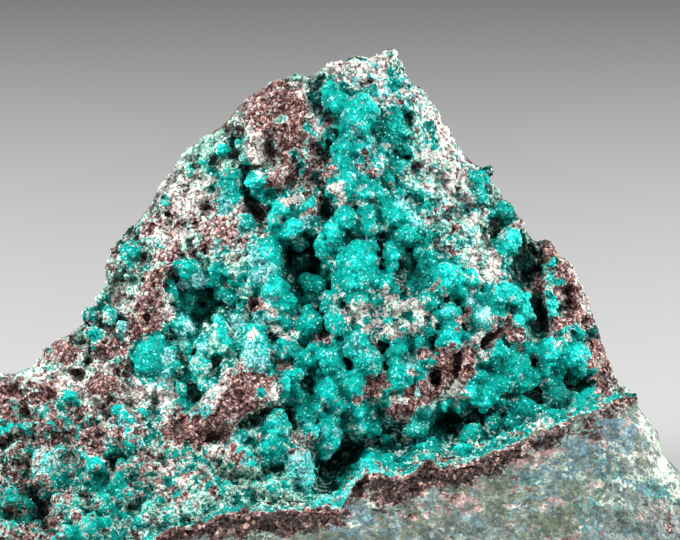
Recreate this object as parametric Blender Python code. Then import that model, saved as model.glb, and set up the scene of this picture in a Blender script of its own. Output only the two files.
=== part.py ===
"""Chrysocolla with brochantite: a peak of brown gossan whose hollow face is lined with a teal botryoidal crust.

The specimen stands on a flat cut base. Its front is a relief: each point of the face is a place (x, y) on a
sheet FACE_UNITS wide that is seen from slightly above, and a depth towards the viewer in millimetres.
Two solids are made: the rock, and the crust that sits on it with its balls and lobes.
"""
import math

import bpy
import bmesh
import numpy as np
from mathutils import Vector, noise
from mathutils.geometry import delaunay_2d_cdt

MM = 0.001

# Driving dimensions
FACE_WIDTH = 0.050          # real width of the sheet of the face, FACE_UNITS units across
FACE_UNITS = 680.0
FACE_CENTRE = (340.0, 270.0)
FACE_HEIGHT = 0.0201        # height of the sheet's centre above the base
FACE_SIDE = 0.002105        # where the sheet's centre lies, so that the base's middle is at the origin
FACE_SETBACK = -0.000855
VIEW_TILT = math.radians(12.0)
EYE_DISTANCE = 0.260
EDGE_ROUNDING = 1.6         # depth that the face falls back at its outline, in mm
EDGE_ROUNDING_WIDTH = 20.0
BACK_ROUNDING_WIDTH = 78.0
ROCK_ROUGHNESS = 0.34       # height of the broken surface of the face, in mm
BACK_ROUGHNESS = 0.5
FACET_SHARE = 0.85          # how far the back is broken into flat facets: 0 for a smooth back, 1 for flat ones
FACET_TILT = 0.03           # how far a facet may lean from the rounded back, in mm per face unit
FACET_BLEND = 26.0          # width of the ridges between facets, in face units
CRUST_GAP = 0.40            # between crust and rock along the line of sight, in mm
CRUST_THICKNESS = 0.75
RIM_STEP = 3.5              # width of the step from the hollow up to the slab's rim, in face units
BALL_LIFT = 0.72            # share of a ball's radius that stands out of the crust
SNAP_TO_BASE = 0.00025

# The outline of the specimen on the sheet, clockwise from the lower left
OUTLINE = (
    (-70, 655), (-84, 612), (-82, 566), (-90, 524), (-84, 486), (-72, 458), (-70, 432), (-52, 408), (-34, 396),
    (-16, 379), (0, 374), (15, 374), (30, 368), (42, 356), (56, 340), (66, 336), (75, 330), (86, 323), (89, 312),
    (98, 305), (100, 293), (105, 284), (107, 270), (109, 257), (114, 247), (121, 236), (131, 227),
    (139, 222), (147, 213), (151, 205), (156, 190), (168, 174), (181, 157), (193, 145), (203, 137),
    (211, 133), (220, 130), (229, 118), (238, 108), (252, 95), (262, 89), (273, 80), (288, 77),
    (297, 73), (304, 76), (316, 76), (324, 68), (333, 63), (346, 61), (356, 54), (366, 58), (376, 56),
    (386, 49), (392, 47), (397, 51), (403, 65), (405, 73), (413, 84), (422, 90), (431, 101), (437, 111),
    (441, 120), (450, 129), (454, 140), (461, 152), (470, 162), (481, 167), (490, 171), (491, 183),
    (500, 191), (503, 200), (511, 209), (519, 217), (526, 230), (533, 241), (545, 239), (555, 247),
    (558, 257), (565, 258), (573, 267), (581, 285), (588, 296), (591, 312), (598, 328), (602, 343),
    (610, 362), (616, 377), (619, 386), (627, 387), (634, 397), (640, 408), (648, 420), (658, 434),
    (659, 446), (667, 459), (680, 471), (694, 480), (704, 498), (706, 524), (715, 548), (711, 590),
    (702, 624), (704, 655),
)

# Depths of the hollow face: x, y, mm towards the viewer
HOLLOW_DEPTHS = (
    (340, 60, -0.6), (392, 50, -1.2), (300, 80, -0.4), (250, 100, -1.0), (220, 135, -1.3), (350, 118, 0.5),
    (355, 165, 0.4), (280, 130, 0.0), (290, 180, -0.3), (420, 120, -1.2), (460, 170, -1.8), (490, 190, -2.2),
    (520, 230, -2.8), (550, 250, -3.2), (575, 275, -3.6), (590, 310, -3.6), (605, 350, -3.0), (620, 392, -2.0),
    (170, 180, -1.6), (130, 235, -1.4), (105, 290, -0.6), (90, 320, 0.2), (50, 350, 1.2), (0, 375, 2.2),
    (-45, 415, 2.6), (-85, 490, 2.6), (200, 200, -0.2), (160, 260, 0.6), (140, 310, 1.2), (110, 350, 1.7),
    (60, 385, 2.7), (20, 400, 3.2), (200, 300, -0.8), (250, 270, 1.2), (250, 345, 2.2), (238, 395, 3.3),
    (290, 330, 0.8), (350, 270, 1.3), (340, 330, 1.4), (350, 385, 1.7), (330, 430, 1.6), (450, 280, 1.5),
    (450, 215, -0.2), (485, 320, 1.1), (400, 340, 1.4), (425, 395, 1.6), (495, 360, 0.7), (555, 355, 0.0),
    (590, 368, -1.0), (490, 395, 0.6), (520, 412, -1.6), (575, 395, -2.4), (462, 438, -1.2), (405, 448, 0.0),
    (335, 470, -0.8), (388, 468, -0.8), (150, 400, 3.0), (100, 430, 4.4), (200, 450, 4.3), (250, 445, 3.9),
    (270, 490, 4.2), (300, 478, 4.0), (150, 490, 5.6), (60, 480, 6.0), (10, 510, 7.2), (100, 535, 8.0),
    (215, 500, 5.4), (30, 600, 9.4), (-75, 600, 5.5), (150, 600, 10.0), (40, 650, 10.0),
)

# Depths of the slab of massive chrysocolla in the lower right
SLAB_DEPTHS = (
    (165, 530, 8.0), (230, 514, 7.0), (313, 510, 6.2), (362, 480, 4.8), (430, 462, 3.6), (500, 452, 3.0),
    (560, 430, 2.3), (610, 405, 1.2), (638, 412, 0.4), (340, 532, 8.6), (450, 515, 6.9), (550, 495, 5.2),
    (620, 465, 3.4), (660, 495, 3.4), (590, 545, 7.4), (500, 560, 9.0), (680, 560, 4.6), (200, 600, 10.4),
    (350, 600, 10.8), (500, 605, 10.2), (640, 600, 7.6), (350, 650, 11.0), (600, 650, 9.0), (715, 600, 3.0),
)

# The upper edge of the slab, from the lower left to the right side
RIM = (
    (150, 540), (170, 529), (200, 524), (227, 511), (261, 511), (286, 511), (313, 508), (344, 507), (353, 488),
    (368, 473), (384, 475), (400, 478), (415, 470), (429, 456), (440, 467), (460, 464), (480, 458), (500, 450),
    (520, 440), (540, 430), (556, 425), (580, 415), (600, 407), (616, 399), (634, 397),
)

# Depths of the back
BACK_DEPTHS = (
    (360, 60, -5.5), (300, 90, -7.5), (430, 110, -7.0), (230, 150, -8.5), (500, 200, -8.5), (345, 165, -12.5),
    (200, 250, -11.0), (560, 270, -9.5), (420, 245, -14.0), (290, 300, -16.5), (120, 320, -9.0),
    (600, 370, -10.5), (200, 390, -14.0), (450, 365, -17.5), (40, 410, -6.5), (330, 440, -18.5),
    (560, 460, -14.5), (690, 520, -9.0), (-60, 470, -8.0), (150, 500, -15.0), (450, 520, -18.5), (0, 600, -12.0),
    (330, 620, -19.0), (650, 620, -12.0),
)

# The back's simpler outline, which its rounding follows, and the middles of its broken flat facets
BACK_OUTLINE = (
    (-88, 660), (-92, 500), (-60, 410), (50, 345), (100, 285), (150, 200), (215, 122), (290, 66), (395, 44),
    (435, 105), (500, 185), (560, 250), (600, 330), (650, 415), (712, 500), (712, 660),
)
BACK_FACETS = (
    (345, 85), (390, 70), (285, 115), (435, 140), (240, 160), (340, 165), (185, 215), (490, 215), (400, 240),
    (290, 260), (150, 265), (540, 280), (215, 330), (340, 350), (455, 330), (125, 330), (585, 350), (60, 380),
    (160, 410), (270, 430), (395, 440), (510, 420), (620, 420), (-15, 420), (80, 450), (200, 500), (330, 520),
    (455, 520), (570, 490), (655, 480), (-55, 480), (20, 520), (690, 550),
)

# Hollows and dark recesses of the face: x, y, half width, half height, turn in degrees, depth in mm
HOLES = (
    (302, 262, 18, 29, 12, 3.6), (250, 194, 7, 25, -22, 1.6), (262, 212, 15, 7, 0, 1.3), (268, 150, 6, 14, 0, 0.9),
    (327, 207, 7, 13, 0, 1.4), (353, 223, 7, 12, 15, 1.4), (381, 255, 5, 15, 0, 1.4), (407, 262, 12, 20, 15, 1.8),
    (492, 231, 6, 12, -20, 1.0), (529, 268, 14, 24, 12, 2.4), (537, 312, 9, 24, 0, 2.2), (436, 378, 6, 10, 0, 1.6),
    (341, 474, 27, 29, 22, 3.8), (391, 466, 9, 8, 0, 1.6), (449, 424, 13, 11, 0, 1.8), (505, 430, 7, 12, 0, 1.2),
    (572, 395, 30, 11, -12, 1.3), (210, 302, 26, 15, 0, 2.0), (195, 392, 13, 10, 0, 1.7), (259, 420, 27, 7, -30, 2.0),
    (291, 422, 7, 17, 0, 1.6), (274, 471, 15, 7, -12, 1.3), (40, 503, 13, 17, 0, 2.2), (306, 386, 7, 12, 0, 1.2),
    (386, 357, 7, 12, 0, 1.2), (487, 340, 17, 5, -36, 1.8), (457, 366, 4, 18, 6, 1.4), (76, 375, 9, 6, 30, 1.1),
    (62, 440, 18, 8, -20, 1.3), (116, 467, 10, 9, 0, 1.2), (322, 322, 6, 16, 0, 1.0),
)

# Blunt lumps and plates of bare rock: x, y, half width, half height, turn in degrees, height in mm
KNOBS = (
    (276, 112, 30, 30, 0, 0.5), (255, 148, 12, 17, 0, 0.7), (275, 178, 11, 10, 0, 0.6), (370, 163, 15, 14, 0, 0.6),
    (240, 396, 42, 22, -24, 1.3), (403, 409, 14, 11, 0, 0.9), (517, 334, 11, 7, 0, 0.9), (166, 256, 15, 19, 30, 0.6),
    (64, 352, 14, 9, -30, 0.6), (105, 384, 12, 10, 0, 0.6), (566, 324, 17, 8, -30, 0.7), (548, 250, 9, 11, 0, 0.7),
    (571, 277, 11, 15, -30, 0.7), (222, 350, 18, 5, -28, 0.8), (120, 358, 24, 5, -34, 0.6), (465, 370, 10, 24, 10, 0.6),
)

# Balls and lobes of the crust: x, y, radius in face units
CRUST_BALLS = (
    # summit and upper face
    (355, 118, 16), (340, 100, 10), (362, 101, 10), (352, 181, 18), (370, 190, 11), (339, 165, 9), (373, 172, 8),
    (346, 217, 12), (335, 232, 12), (323, 245, 11), (369, 213, 9), (371, 230, 9), (395, 215, 12), (405, 234, 11),
    (352, 262, 17), (362, 281, 17), (357, 298, 13), (391, 254, 10), (257, 180, 11), (281, 209, 10), (292, 228, 10),
    # left of the middle
    (258, 274, 12), (270, 289, 13), (287, 302, 11), (264, 254, 9), (311, 284, 11), (310, 322, 14), (331, 303, 11),
    (338, 322, 14), (285, 350, 13), (303, 358, 11), (254, 334, 12), (256, 360, 15), (238, 321, 10), (219, 331, 12),
    (204, 346, 11), (182, 328, 12), (196, 279, 10), (184, 268, 10), (229, 297, 10), (200, 371, 11), (167, 356, 10),
    (149, 350, 12), (148, 369, 12), (165, 374, 10),
    # middle
    (356, 338, 12), (367, 361, 16), (331, 363, 13), (327, 393, 13), (352, 386, 13), (358, 412, 10), (326, 424, 13),
    (325, 445, 13), (372, 429, 10), (398, 350, 10), (400, 377, 14), (303, 397, 9), (413, 428, 12), (340, 405, 10),
    # right
    (450, 280, 18), (471, 279, 10), (430, 300, 10), (447, 313, 10), (449, 336, 12), (482, 319, 13), (493, 297, 12),
    (511, 295, 12), (524, 314, 11), (496, 352, 11), (515, 365, 15), (547, 351, 14), (572, 356, 14), (530, 377, 13),
    (485, 394, 15), (505, 382, 12), (551, 381, 12), (591, 366, 9),
    # lower pocket
    (521, 410, 15), (556, 399, 12), (470, 440, 14), (491, 425, 11), (590, 396, 9), (398, 448, 10), (405, 462, 9),
    (367, 463, 9), (347, 486, 9), (430, 448, 9),
    # lower left
    (300, 466, 13), (302, 482, 11), (241, 459, 15), (275, 490, 14), (225, 492, 13), (190, 510, 13), (168, 516, 12),
    (240, 437, 9), (103, 502, 11), (68, 505, 13), (126, 470, 12), (126, 495, 11), (95, 465, 11), (131, 441, 10),
    (46, 462, 13), (125, 420, 11), (85, 528, 13), (270, 426, 9),
)

# Balls that grow on the bare rock outside the crust
ROCK_BALLS = (
    (400, 81, 9), (480, 180, 10), (482, 195, 8), (504, 212, 11), (508, 244, 13), (130, 252, 10), (116, 266, 11),
    (92, 316, 9), (92, 333, 9), (103, 300, 8), (222, 147, 8), (110, 318, 8), (300, 100, 8), (335, 69, 8),
)

# The edge of the crust, and the windows in it where the rock shows through
CRUST_EDGE = (
    (326, 92), (350, 84), (374, 90), (382, 112), (376, 140), (392, 168), (404, 200), (420, 228), (434, 252),
    (458, 255), (480, 268), (494, 282), (520, 282), (536, 300), (536, 322), (548, 336), (582, 338), (600, 356),
    (603, 378), (596, 401), (574, 409), (552, 419), (532, 427), (514, 436), (496, 444), (476, 452), (458, 456),
    (444, 458), (428, 447), (411, 464), (398, 470), (383, 467), (364, 465), (347, 480), (338, 499), (312, 500),
    (284, 503), (256, 503), (226, 503), (198, 516), (172, 521), (148, 532), (110, 545), (70, 542), (50, 520),
    (46, 492), (30, 474), (34, 448), (58, 446), (82, 452), (104, 440), (112, 414), (128, 402), (150, 406),
    (160, 386), (136, 386), (130, 364), (136, 342), (156, 332), (172, 312), (166, 282), (172, 260), (196, 258),
    (222, 264), (240, 262), (248, 244), (268, 236), (270, 214), (246, 200), (242, 178), (254, 166), (272, 170),
    (286, 192), (302, 206), (322, 206), (330, 188), (326, 160), (338, 138), (332, 112),
)
CRUST_WINDOWS = (
    ((222, 372), (240, 376), (262, 384), (282, 388), (282, 402), (262, 412), (238, 420), (226, 436), (204, 446),
     (180, 440), (176, 420), (200, 408), (216, 398)),
    ((388, 402), (402, 396), (418, 392), (430, 370), (438, 356), (462, 348), (474, 346), (480, 356), (470, 376),
     (462, 392), (446, 400), (424, 406), (410, 416), (392, 420)),
    ((505, 330), (516, 326), (528, 331), (526, 341), (512, 343)),
)

FACE_SPACING = 19.0
LOW_FACE_SPACING = 34.0
BACK_SPACING = 38.0
LOW_FACE_START = 555.0      # below this the face is coarse: it meets the base there
NEAREST_POINTS = 6.4
BACK_RINGS = ((4.0, 15.0), (14.0, 22.0), (32.0, 28.0), (60.0, 32.0))    # distance in from the outline, spacing
NEAREST_BACK_POINTS = 9.0
FACE_SPAN = (30.0, 670.0)
EDGE_POINT_SPACING = 14.0

VIEW_RIGHT = Vector((1.0, 0.0, 0.0))
VIEW_UP = Vector((0.0, math.sin(VIEW_TILT), math.cos(VIEW_TILT)))
TO_VIEWER = Vector((0.0, -math.cos(VIEW_TILT), math.sin(VIEW_TILT)))
FACE_ORIGIN = Vector((FACE_SIDE, FACE_SETBACK, FACE_HEIGHT))
UNIT = FACE_WIDTH / FACE_UNITS
UNIT_MM = UNIT / MM


def place(x, y, depth):
    """The point in space of a place on the sheet at a depth in millimetres."""
    nearer = 1.0 - depth * MM / EYE_DISTANCE
    right = (x - FACE_CENTRE[0]) * UNIT * nearer
    up = (FACE_CENTRE[1] - y) * UNIT * nearer
    return FACE_ORIGIN + VIEW_RIGHT * right + VIEW_UP * up + TO_VIEWER * (depth * MM)


def smooth_surface(samples):
    """A smooth surface through samples of (x, y, depth), as a function of places."""
    table = np.array(samples, dtype=float)
    places = table[:, :2]
    softness = 30.0
    smoothing = 1.0
    spread = np.hypot(*(places[:, None] - places[None]).transpose(2, 0, 1))
    kernel = np.sqrt(spread ** 2 + softness ** 2)
    count = len(table)
    system = np.zeros((count + 3, count + 3))
    system[:count, :count] = kernel - np.eye(count) * smoothing
    system[:count, count] = 1.0
    system[:count, count + 1:] = places
    system[count, :count] = 1.0
    system[count + 1:, :count] = places.T
    weights = np.linalg.solve(system, np.concatenate([table[:, 2], np.zeros(3)]))

    def surface(points):
        reach = np.hypot(*(points[:, None] - places[None]).transpose(2, 0, 1))
        bend = np.sqrt(reach ** 2 + softness ** 2) @ weights[:count]
        return bend + weights[count] + points @ weights[count + 1:]
    return surface


def distance_to_path(points, path, closed):
    """Distance from each point to a polyline."""
    corners = np.array(path, dtype=float)
    ends = np.roll(corners, -1, axis=0) if closed else corners[1:]
    starts = corners if closed else corners[:-1]
    along = ends - starts
    offset = points[:, None] - starts[None]
    share = np.clip((offset * along).sum(2) / (along ** 2).sum(1), 0.0, 1.0)
    gap = offset - share[..., None] * along
    return np.hypot(gap[..., 0], gap[..., 1]).min(1)


def inside(points, polygon):
    """Whether each point lies in a polygon."""
    result = np.zeros(len(points), dtype=bool)
    previous = polygon[-1]
    for corner in polygon:
        (x0, y0), (x1, y1) = previous, corner
        if y0 != y1:
            crossing = (y0 > points[:, 1]) != (y1 > points[:, 1])
            result ^= crossing & (points[:, 0] < (x1 - x0) * (points[:, 1] - y0) / (y1 - y0) + x0)
        previous = corner
    return result


def ellipse_distance(points, x, y, half_width, half_height, turn):
    """0 at the middle of a turned ellipse, 1 on its edge."""
    angle = math.radians(turn)
    dx = points[:, 0] - x
    dy = points[:, 1] - y
    across = (dx * math.cos(angle) + dy * math.sin(angle)) / half_width
    down = (dy * math.cos(angle) - dx * math.sin(angle)) / half_height
    return np.hypot(across, down)


def roughness(points, size, seed):
    """Broken-rock noise between about -1 and 1."""
    values = []
    for x, y in points:
        spot = Vector((x / size, y / size, seed))
        values.append(noise.noise(spot) + 0.5 * noise.noise(spot * 2.3))
    return np.array(values)


hollow_surface = smooth_surface(HOLLOW_DEPTHS)
slab_surface = smooth_surface(SLAB_DEPTHS)
back_surface = smooth_surface(BACK_DEPTHS)
SLAB_AREA = RIM + ((760, 380), (760, 700), (150, 700))


def broad_depth(points):
    """The face without its hollows and lumps: the hollow face, and the slab that stands in front of it."""
    on_slab = inside(points, SLAB_AREA)
    signed = np.where(on_slab, 1.0, -1.0) * distance_to_path(points, RIM, closed=False)
    step = np.clip(signed / RIM_STEP + 1.0, 0.0, 1.0)
    return hollow_surface(points) * (1.0 - step) + slab_surface(points) * step


def rounded_edge(points):
    share = np.clip(distance_to_path(points, OUTLINE, closed=True) / EDGE_ROUNDING_WIDTH, 0.0, 1.0)
    return EDGE_ROUNDING * (1.0 - np.sqrt(1.0 - (1.0 - share) ** 2))


def ground_depth(points):
    """The face with its hollows, knobs and roughness, but without its balls."""
    depth = broad_depth(points) - rounded_edge(points) + ROCK_ROUGHNESS * roughness(points, 21.0, 3.1)
    for x, y, half_width, half_height, turn, deep in HOLES:
        reach = ellipse_distance(points, x, y, half_width, half_height, turn)
        depth -= deep / (1.0 + (reach / 0.95) ** 6)
    for x, y, half_width, half_height, turn, high in KNOBS:
        reach = ellipse_distance(points, x, y, half_width, half_height, turn)
        depth += high / (1.0 + reach ** 6)
    return depth


def with_balls(points, depth, balls):
    """The depth raised to the front of any ball there."""
    raised = depth.copy()
    middles = np.array([(x, y) for x, y, radius in balls], dtype=float)
    seats = ground_depth(middles)
    for (x, y, radius), seat in zip(balls, seats):
        centre = seat + (BALL_LIFT - 1.0) * radius * UNIT_MM
        apart = np.hypot(points[:, 0] - x, points[:, 1] - y) * UNIT_MM
        ball = radius * UNIT_MM
        front = centre + np.sqrt(np.clip(ball ** 2 - apart ** 2, 0.0, None))
        raised = np.where(apart < ball, np.maximum(raised, front), raised)
    return raised


def rounded_back(points):
    """The back before it is broken: rounded at the outline."""
    edge = broad_depth(points) - EDGE_ROUNDING
    share = np.clip(distance_to_path(points, BACK_OUTLINE, closed=True) / BACK_ROUNDING_WIDTH, 0.0, 1.0)
    return edge + (back_surface(points) - edge) * np.sqrt(1.0 - (1.0 - share) ** 2)


def back_depth(points):
    """The back: flat facets that touch the rounded back near their middles, and a rough surface on them."""
    step = 14.0
    middles = np.array(BACK_FACETS, dtype=float)
    touch = rounded_back(middles)
    lean_x = (rounded_back(middles + (step, 0.0)) - rounded_back(middles - (step, 0.0))) / (2.0 * step)
    lean_y = (rounded_back(middles + (0.0, step)) - rounded_back(middles - (0.0, step))) / (2.0 * step)
    lean_x += FACET_TILT * roughness(middles, 9.0, 1.3)
    lean_y += FACET_TILT * roughness(middles, 9.0, 5.9)
    offset = points[:, None] - middles[None]
    planes = touch + offset[..., 0] * lean_x + offset[..., 1] * lean_y
    far = (offset ** 2).sum(2)
    weight = np.exp((far.min(1)[:, None] - far) / FACET_BLEND ** 2)
    broken = (planes * weight).sum(1) / weight.sum(1)
    rough = BACK_ROUGHNESS * roughness(points, 42.0, 8.7)
    thinnest = broad_depth(points) - EDGE_ROUNDING - 1.0
    return np.minimum(FACET_SHARE * broken + (1.0 - FACET_SHARE) * rounded_back(points) + rough, thinnest)


def on_crust(points):
    """Whether each point lies on the crust."""
    result = inside(points, CRUST_EDGE)
    for window in CRUST_WINDOWS:
        result &= ~inside(points, window)
    return result


def resample(path, spacing, closed):
    """The corners of a path, with points added on its long sides."""
    result = []
    sides = len(path) if closed else len(path) - 1
    for index in range(sides):
        x0, y0 = path[index]
        x1, y1 = path[(index + 1) % len(path)]
        steps = max(1, round(math.hypot(x1 - x0, y1 - y0) / spacing))
        result += [(x0 + (x1 - x0) * step / steps, y0 + (y1 - y0) * step / steps) for step in range(steps)]
    return result if closed else result + [path[-1]]


def ring(x, y, half_width, half_height, turn, share, count):
    """Points around a turned ellipse."""
    angle = math.radians(turn)
    result = []
    for index in range(count):
        around = math.tau * (index + 0.5 * share) / count
        across = half_width * share * math.cos(around)
        down = half_height * share * math.sin(around)
        result.append((x + across * math.cos(angle) - down * math.sin(angle),
                       y + across * math.sin(angle) + down * math.cos(angle)))
    return result


def thin_out(candidates, kept, nearest):
    """Adds the candidates that are not too near to a point already kept."""
    result = list(kept)
    cells = {}

    def cell_of(point):
        return int(point[0] // nearest), int(point[1] // nearest)

    for point in result:
        cells.setdefault(cell_of(point), []).append(point)
    for point in candidates:
        column, row = cell_of(point)
        near = [other for i in (-1, 0, 1) for j in (-1, 0, 1) for other in cells.get((column + i, row + j), ())]
        if all(math.dist(point, other) >= nearest for other in near):
            result.append(point)
            cells.setdefault((column, row), []).append(point)
    return result


def grid_points(spacing, top, bottom, shake):
    """A shaken triangular grid over the sheet."""
    result = []
    for row in range(int((bottom - top) / (spacing * 0.87))):
        for column in range(int(880 / spacing)):
            x = -120.0 + (column + 0.5 * (row % 2)) * spacing
            y = top + row * spacing * 0.87
            spot = Vector((x * 0.37, y * 0.41, spacing))
            x += shake * spacing * noise.noise(spot)
            y += shake * spacing * noise.noise(spot + Vector((31.0, 17.0, 5.0)))
            result.append((x, y))
    return result


def triangulate(loops, lines, free):
    """Delaunay triangles inside the first loop that keep every loop and line as edges."""
    points = []
    edges = []
    for path, closed in [(loop, True) for loop in loops] + [(line, False) for line in lines]:
        first = len(points)
        points += path
        count = len(path)
        sides = count if closed else count - 1
        edges += [(first + index, first + (index + 1) % count) for index in range(sides)]
    spots = np.array(free)
    wanted = inside(spots, loops[0]) & (distance_to_path(spots, loops[0], closed=True) > NEAREST_POINTS * 0.6)
    points += [tuple(spot) for spot in spots[wanted]]
    flat = [Vector(point) for point in points]
    places, _, triangles, _, _, _ = delaunay_2d_cdt(flat, edges, [], 1, 1e-4)
    corners = np.array([tuple(spot) for spot in places])
    return corners, [tuple(triangle) for triangle in triangles]


def face_points():
    """Points for the face: around every hollow, knob and ball, along the rim, then a grid."""
    candidates = []
    for x, y, radius in CRUST_BALLS + ROCK_BALLS:
        candidates.append((x, y))
    for x, y, radius in CRUST_BALLS + ROCK_BALLS:
        candidates += ring(x, y, radius, radius, 0.0, 0.64, 5 if radius > 10 else 4)
        candidates += ring(x, y, radius, radius, 0.0, 1.04, 8 if radius > 10 else 6)
    for x, y, half_width, half_height, turn, deep in HOLES:
        around = 9 if max(half_width, half_height) > 16 else 5
        candidates.append((x, y))
        candidates += ring(x, y, half_width, half_height, turn, 0.66, around)
        candidates += ring(x, y, half_width, half_height, turn, 1.22, around + 2)
    for x, y, half_width, half_height, turn, high in KNOBS:
        candidates += ring(x, y, half_width, half_height, turn, 0.7, 7)
        candidates += ring(x, y, half_width, half_height, turn, 1.2, 9)
    candidates += grid_points(FACE_SPACING, FACE_SPAN[0], LOW_FACE_START, 0.5)
    candidates += grid_points(LOW_FACE_SPACING, LOW_FACE_START, FACE_SPAN[1], 0.3)
    return candidates


def shifted_rim(offset):
    """The rim line moved up or down the sheet."""
    return [(x, y + offset) for x, y in resample(RIM[1:-1], EDGE_POINT_SPACING, closed=False)]


def link(mesh, corners, triangles, flip):
    """Adds triangles to a mesh under construction."""
    verts = [mesh.verts.new(corner) for corner in corners]
    for a, b, c in triangles:
        mesh.faces.new((verts[a], verts[c], verts[b]) if flip else (verts[a], verts[b], verts[c]))
    return verts


def faces_viewer(corners, triangles):
    """Turns each triangle the way that faces the viewer on a sheet whose y runs down."""
    result = []
    for a, b, c in triangles:
        side = np.cross(corners[b] - corners[a], corners[c] - corners[a])
        result.append((a, c, b) if side > 0 else (a, b, c))
    return result


def material(name, colour, roughness_value, metallic=0.0):
    result = bpy.data.materials.new(name)
    result.use_nodes = True
    shader = result.node_tree.nodes["Principled BSDF"]
    shader.inputs["Base Color"].default_value = (*colour, 1.0)
    shader.inputs["Roughness"].default_value = roughness_value
    shader.inputs["Metallic"].default_value = metallic
    return result


def add_object(name, mesh, surface):
    data = bpy.data.meshes.new(name)
    mesh.to_mesh(data)
    mesh.free()
    data.materials.append(surface)
    result = bpy.data.objects.new(name, data)
    bpy.context.scene.collection.objects.link(result)
    return result


def cut_flat(mesh):
    """Cuts the rock flat at the base and closes the cut."""
    for vert in mesh.verts:
        if abs(vert.co.z) < SNAP_TO_BASE:
            vert.co.z = 0.0
    everything = mesh.verts[:] + mesh.edges[:] + mesh.faces[:]
    bmesh.ops.bisect_plane(mesh, geom=everything, plane_co=(0, 0, 0), plane_no=(0, 0, 1), dist=1e-7, clear_inner=True)
    open_edges = [edge for edge in mesh.edges if edge.is_boundary]
    bmesh.ops.holes_fill(mesh, edges=open_edges, sides=0)


def make_matrix(corners, triangles):
    """The rock: its face, lower under the crust, its rounded back, and its flat base."""
    crusted = set()
    bare = set()
    middles = np.array([(corners[a] + corners[b] + corners[c]) / 3.0 for a, b, c in triangles])
    covered = on_crust(middles)
    for triangle, under in zip(triangles, covered):
        (crusted if under else bare).update(triangle)
    ground = ground_depth(corners)
    depth = with_balls(corners, ground, ROCK_BALLS)
    under_crust = np.array(sorted(crusted))
    depth[under_crust] = ground[under_crust] - CRUST_THICKNESS - CRUST_GAP
    back_corners, back_triangles = back_sheet()
    deep_back = back_depth(back_corners)
    on_edge = distance_to_path(back_corners, OUTLINE, closed=True) < 0.01
    deep_back[on_edge] = depth_at(back_corners[on_edge], corners, depth)
    front_only, back_only = without_shared_ears((corners, triangles), (back_corners, back_triangles))
    mesh = bmesh.new()
    link(mesh, [place(*corner, deep) for corner, deep in zip(corners, depth)], front_only, flip=False)
    link(mesh, [place(*corner, deep) for corner, deep in zip(back_corners, deep_back)], back_only, flip=True)
    bmesh.ops.remove_doubles(mesh, verts=mesh.verts[:], dist=1e-6)
    cut_flat(mesh)
    bmesh.ops.triangulate(mesh, faces=mesh.faces[:])
    return add_object("matrix", mesh, material("gossan", (0.17, 0.10, 0.075), 0.82))


def back_sheet():
    """The corners and triangles of the back: rings that follow the outline, then a grid."""
    outline = list(OUTLINE)
    candidates = []
    for inset, spacing in BACK_RINGS:
        candidates += inset_ring(inset, spacing)
    candidates += grid_points(BACK_SPACING, *FACE_SPAN, 0.5)
    free = thin_out(candidates, outline, NEAREST_BACK_POINTS)[len(outline):]
    corners, triangles = triangulate([outline], [], free)
    return corners, faces_viewer(corners, triangles)


def without_shared_ears(front, back):
    """The triangles of both sheets without those at sharp corners of the outline that are in both."""
    def keys(sheet):
        corners, triangles = sheet
        return [frozenset((round(x), round(y)) for x, y in corners[list(triangle)]) for triangle in triangles]

    front_keys = keys(front)
    back_keys = keys(back)
    shared = set(front_keys) & set(back_keys)
    front_only = [triangle for triangle, key in zip(front[1], front_keys) if key not in shared]
    back_only = [triangle for triangle, key in zip(back[1], back_keys) if key not in shared]
    return front_only, back_only


def inset_ring(inset, spacing):
    """Points that lie a distance in from the outline."""
    result = []
    path = resample(OUTLINE, spacing, closed=True)
    count = len(path)
    for index in range(count):
        x0, y0 = path[index - 1]
        x1, y1 = path[(index + 1) % count]
        length = math.hypot(x1 - x0, y1 - y0)
        x, y = path[index]
        result.append((x - (y1 - y0) / length * inset, y + (x1 - x0) / length * inset))
    spots = np.array(result)
    far = distance_to_path(spots, OUTLINE, closed=True) > inset * 0.75
    return [tuple(spot) for spot in spots[far & inside(spots, OUTLINE)]]


def depth_at(wanted, corners, depth):
    """The depth of the corner that lies at each wanted place."""
    apart = np.hypot(*(wanted[:, None] - corners[None]).transpose(2, 0, 1))
    return depth[apart.argmin(1)]


def make_crust(corners, triangles):
    """The crust: a sheet over the rock that is thick at its balls and lobes."""
    middles = np.array([(corners[a] + corners[b] + corners[c]) / 3.0 for a, b, c in triangles])
    sheet = [triangle for triangle, over in zip(triangles, on_crust(middles)) if over]
    used = sorted({corner for triangle in sheet for corner in triangle})
    renumber = {corner: index for index, corner in enumerate(used)}
    sheet = [tuple(renumber[corner] for corner in triangle) for triangle in sheet]
    spots = corners[used]
    ground = ground_depth(spots)
    front_depth = with_balls(spots, ground, CRUST_BALLS)
    mesh = bmesh.new()
    front = link(mesh, [place(*spot, deep) for spot, deep in zip(spots, front_depth)], sheet, flip=False)
    back_places = [place(*spot, deep - CRUST_THICKNESS) for spot, deep in zip(spots, ground)]
    back = link(mesh, back_places, sheet, flip=True)
    sides = {}
    for a, b, c in sheet:
        for start, end in ((a, b), (b, c), (c, a)):
            sides[(start, end)] = (end, start) not in sides
            if (end, start) in sides:
                sides[(end, start)] = False
    for (start, end), is_rim in sides.items():
        if is_rim:
            mesh.faces.new((front[end], front[start], back[start], back[end]))
    bmesh.ops.triangulate(mesh, faces=mesh.faces[:])
    return add_object("brochantite_crust", mesh, material("brochantite", (0.0, 0.36, 0.26), 0.38))


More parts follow.
